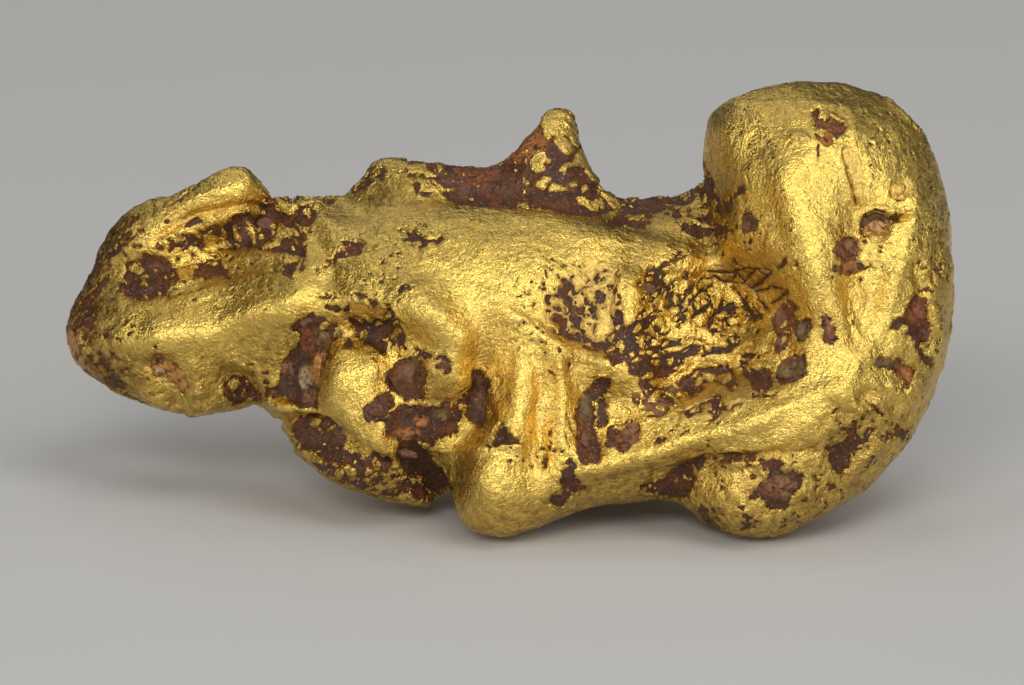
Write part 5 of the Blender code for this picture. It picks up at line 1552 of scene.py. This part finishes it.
skin_surface = BVHTree.FromPolygons([tuple(point) for point in outer], faces)
ball = bmesh.new()
bmesh.ops.create_icosphere(ball, subdivisions=GRAIN_DIVISIONS, radius=1.0)
ball.verts.ensure_lookup_table()
ball_points = np.array([tuple(vertex.co) for vertex in ball.verts])
ball_faces = [tuple(vertex.index for vertex in face.verts) for face in ball.faces]
ball.free()
chance = np.random.default_rng(7)
grain_points, grain_faces, grain_tints = [], [], []
for (x, z), (wide, tall), turn, colour in GRAINS:
    spot, _, _, _ = skin_surface.ray_cast(Vector((x, VIEWER_SIDE, z)), Vector((0, 1, 0)))
    thick = min(wide, tall) * GRAIN_DEPTH
    lobes = ripples(ball_points * (wide, thick, tall) + (x, 0, z), GRAIN_LUMPS, 5.0)
    shape = ball_points.copy()
    for _ in range(FACETS):
        side = chance.normal(size=3)
        side /= np.linalg.norm(side)
        over = np.clip(shape @ side - chance.uniform(*FACET_CUT), 0, None)
        shape -= over[:, None] * side
    shape = shape * (wide, thick, tall) * (1 + lobes / min(wide, tall))[:, None]
    turn = math.radians(turn)
    turned = np.stack([shape[:, 0] * math.cos(turn) - shape[:, 2] * math.sin(turn), shape[:, 1],
                       shape[:, 0] * math.sin(turn) + shape[:, 2] * math.cos(turn)], axis=1)
    start = len(grain_points) * len(ball_points)
    grain_points.append(turned + (x, spot.y + thick * GRAIN_SINK, z))
    grain_faces += [tuple(index + start for index in face) for face in ball_faces]
    grain_tints.append(np.tile((*colour, 1.0), (len(ball_points), 1)))
quartz = build_piece("quartz_grains", np.concatenate(grain_points), grain_faces,
                     np.concatenate(grain_tints))
thin(quartz, TRIANGLES)

QUARTZ_STAIN = (0.13, 0.042, 0.018)
QUARTZ_RELIEF = 0.04  # mm

milky = new_material("stained_quartz")
tree = milky.node_tree
place = add("ShaderNodeTexCoord").outputs["Object"]
# Iron stains each grain in patches, and rock clings in its pores.
stain = mottle(0.45, (0.42, 0.66), (0.0, 0.9), detail=4.0, twist=0.5)
colour = mix(stain, read_field("tint", "Color"), QUARTZ_STAIN)
colour = mix(mottle(0.2, (0.45, 0.33), (0.0, 0.7), detail=3.0), colour, ROCK_DARK)
gloss = mottle(0.4, (0.3, 0.7), (0.26, 0.52))
bump = add("ShaderNodeBump", {"Distance": QUARTZ_RELIEF * MM, "Height": waves(0.2, 3.0)})
surface = add("ShaderNodeBsdfPrincipled", {"Base Color": colour, "Roughness": gloss,
                                           "Specular IOR Level": STONE_SHINE,
                                           "Normal": bump.outputs[0]})
add("ShaderNodeOutputMaterial", {"Surface": surface.outputs[0]})
quartz.data.materials.append(milky)
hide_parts("nugget")
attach(quartz, "root")

# --- Floor and light ---------------------------------------------------------------------------
# A plain pale floor, and large soft boxes round the nugget, most of them in front and above.

FLOOR_SIZE = 8.0  # m
FLOOR_COLOUR = (0.64, 0.63, 0.61)
FLOOR_ROUGHNESS = 0.9
# Each soft box: degrees round to the viewer's right, degrees up, distance, width and height in
# metres, and the brightness of its face.
SOFT_BOXES = {
    "front_sheet": (-2, 20, 1.3, 2.0, 0.9, 0.42),
    "left_box": (-62, 20, 0.9, 0.32, 0.40, 3.1),
    "front_box": (-12, 33, 0.9, 0.40, 0.26, 6.8),
    "low_box": (22, 8, 0.9, 0.26, 0.22, 3.0),
    "right_box": (50, 25, 0.9, 0.26, 0.45, 3.8),
    "high_box": (36, 58, 0.9, 0.50, 0.42, 2.7),
    "top_box": (-150, 72, 1.0, 0.9, 0.6, 0.85),
    "right_back_box": (112, 41, 1.2, 1.0, 0.7, 0.42),
    "left_back_box": (-160, 32, 1.2, 0.45, 0.30, 1.4),
}
AIM = Vector((0, 0, 0.014))  # the nugget's middle, m
ROOM_LIGHT = 0.05

floor_shape = bmesh.new()
bmesh.ops.create_grid(floor_shape, x_segments=1, y_segments=1, size=FLOOR_SIZE / 2)
floor_mesh = bpy.data.meshes.new("floor")
floor_shape.to_mesh(floor_mesh)
floor_shape.free()
floor = bpy.data.objects.new("floor", floor_mesh)
bpy.context.scene.collection.objects.link(floor)
paper = bpy.data.materials.new("pale_paper")
paper.use_nodes = True
paper_surface = paper.node_tree.nodes["Principled BSDF"]
paper_surface.inputs["Base Color"].default_value = (*FLOOR_COLOUR, 1)
paper_surface.inputs["Roughness"].default_value = FLOOR_ROUGHNESS
floor_mesh.materials.append(paper)

for name, (turn, rise, distance, width, tall, brightness) in SOFT_BOXES.items():
    light = bpy.data.lights.new(name, "AREA")
    light.shape = "RECTANGLE"
    light.size = width
    light.size_y = tall
    light.energy = brightness * math.pi * width * tall
    box = bpy.data.objects.new(name, light)
    turn, rise = math.radians(turn), math.radians(rise)
    level = math.cos(rise)
    ray = Vector((math.sin(turn) * level, -math.cos(turn) * level, math.sin(rise)))
    box.location = AIM + ray * distance
    box.rotation_euler = ray.to_track_quat("Z", "Y").to_euler()
    bpy.context.scene.collection.objects.link(box)

room = bpy.data.worlds.new("room")
room.use_nodes = True
room.node_tree.nodes["Background"].inputs["Color"].default_value = (1, 1, 1, 1)
room.node_tree.nodes["Background"].inputs["Strength"].default_value = ROOM_LIGHT
bpy.context.scene.world = room
bpy.context.scene.view_settings.view_transform = "Standard"
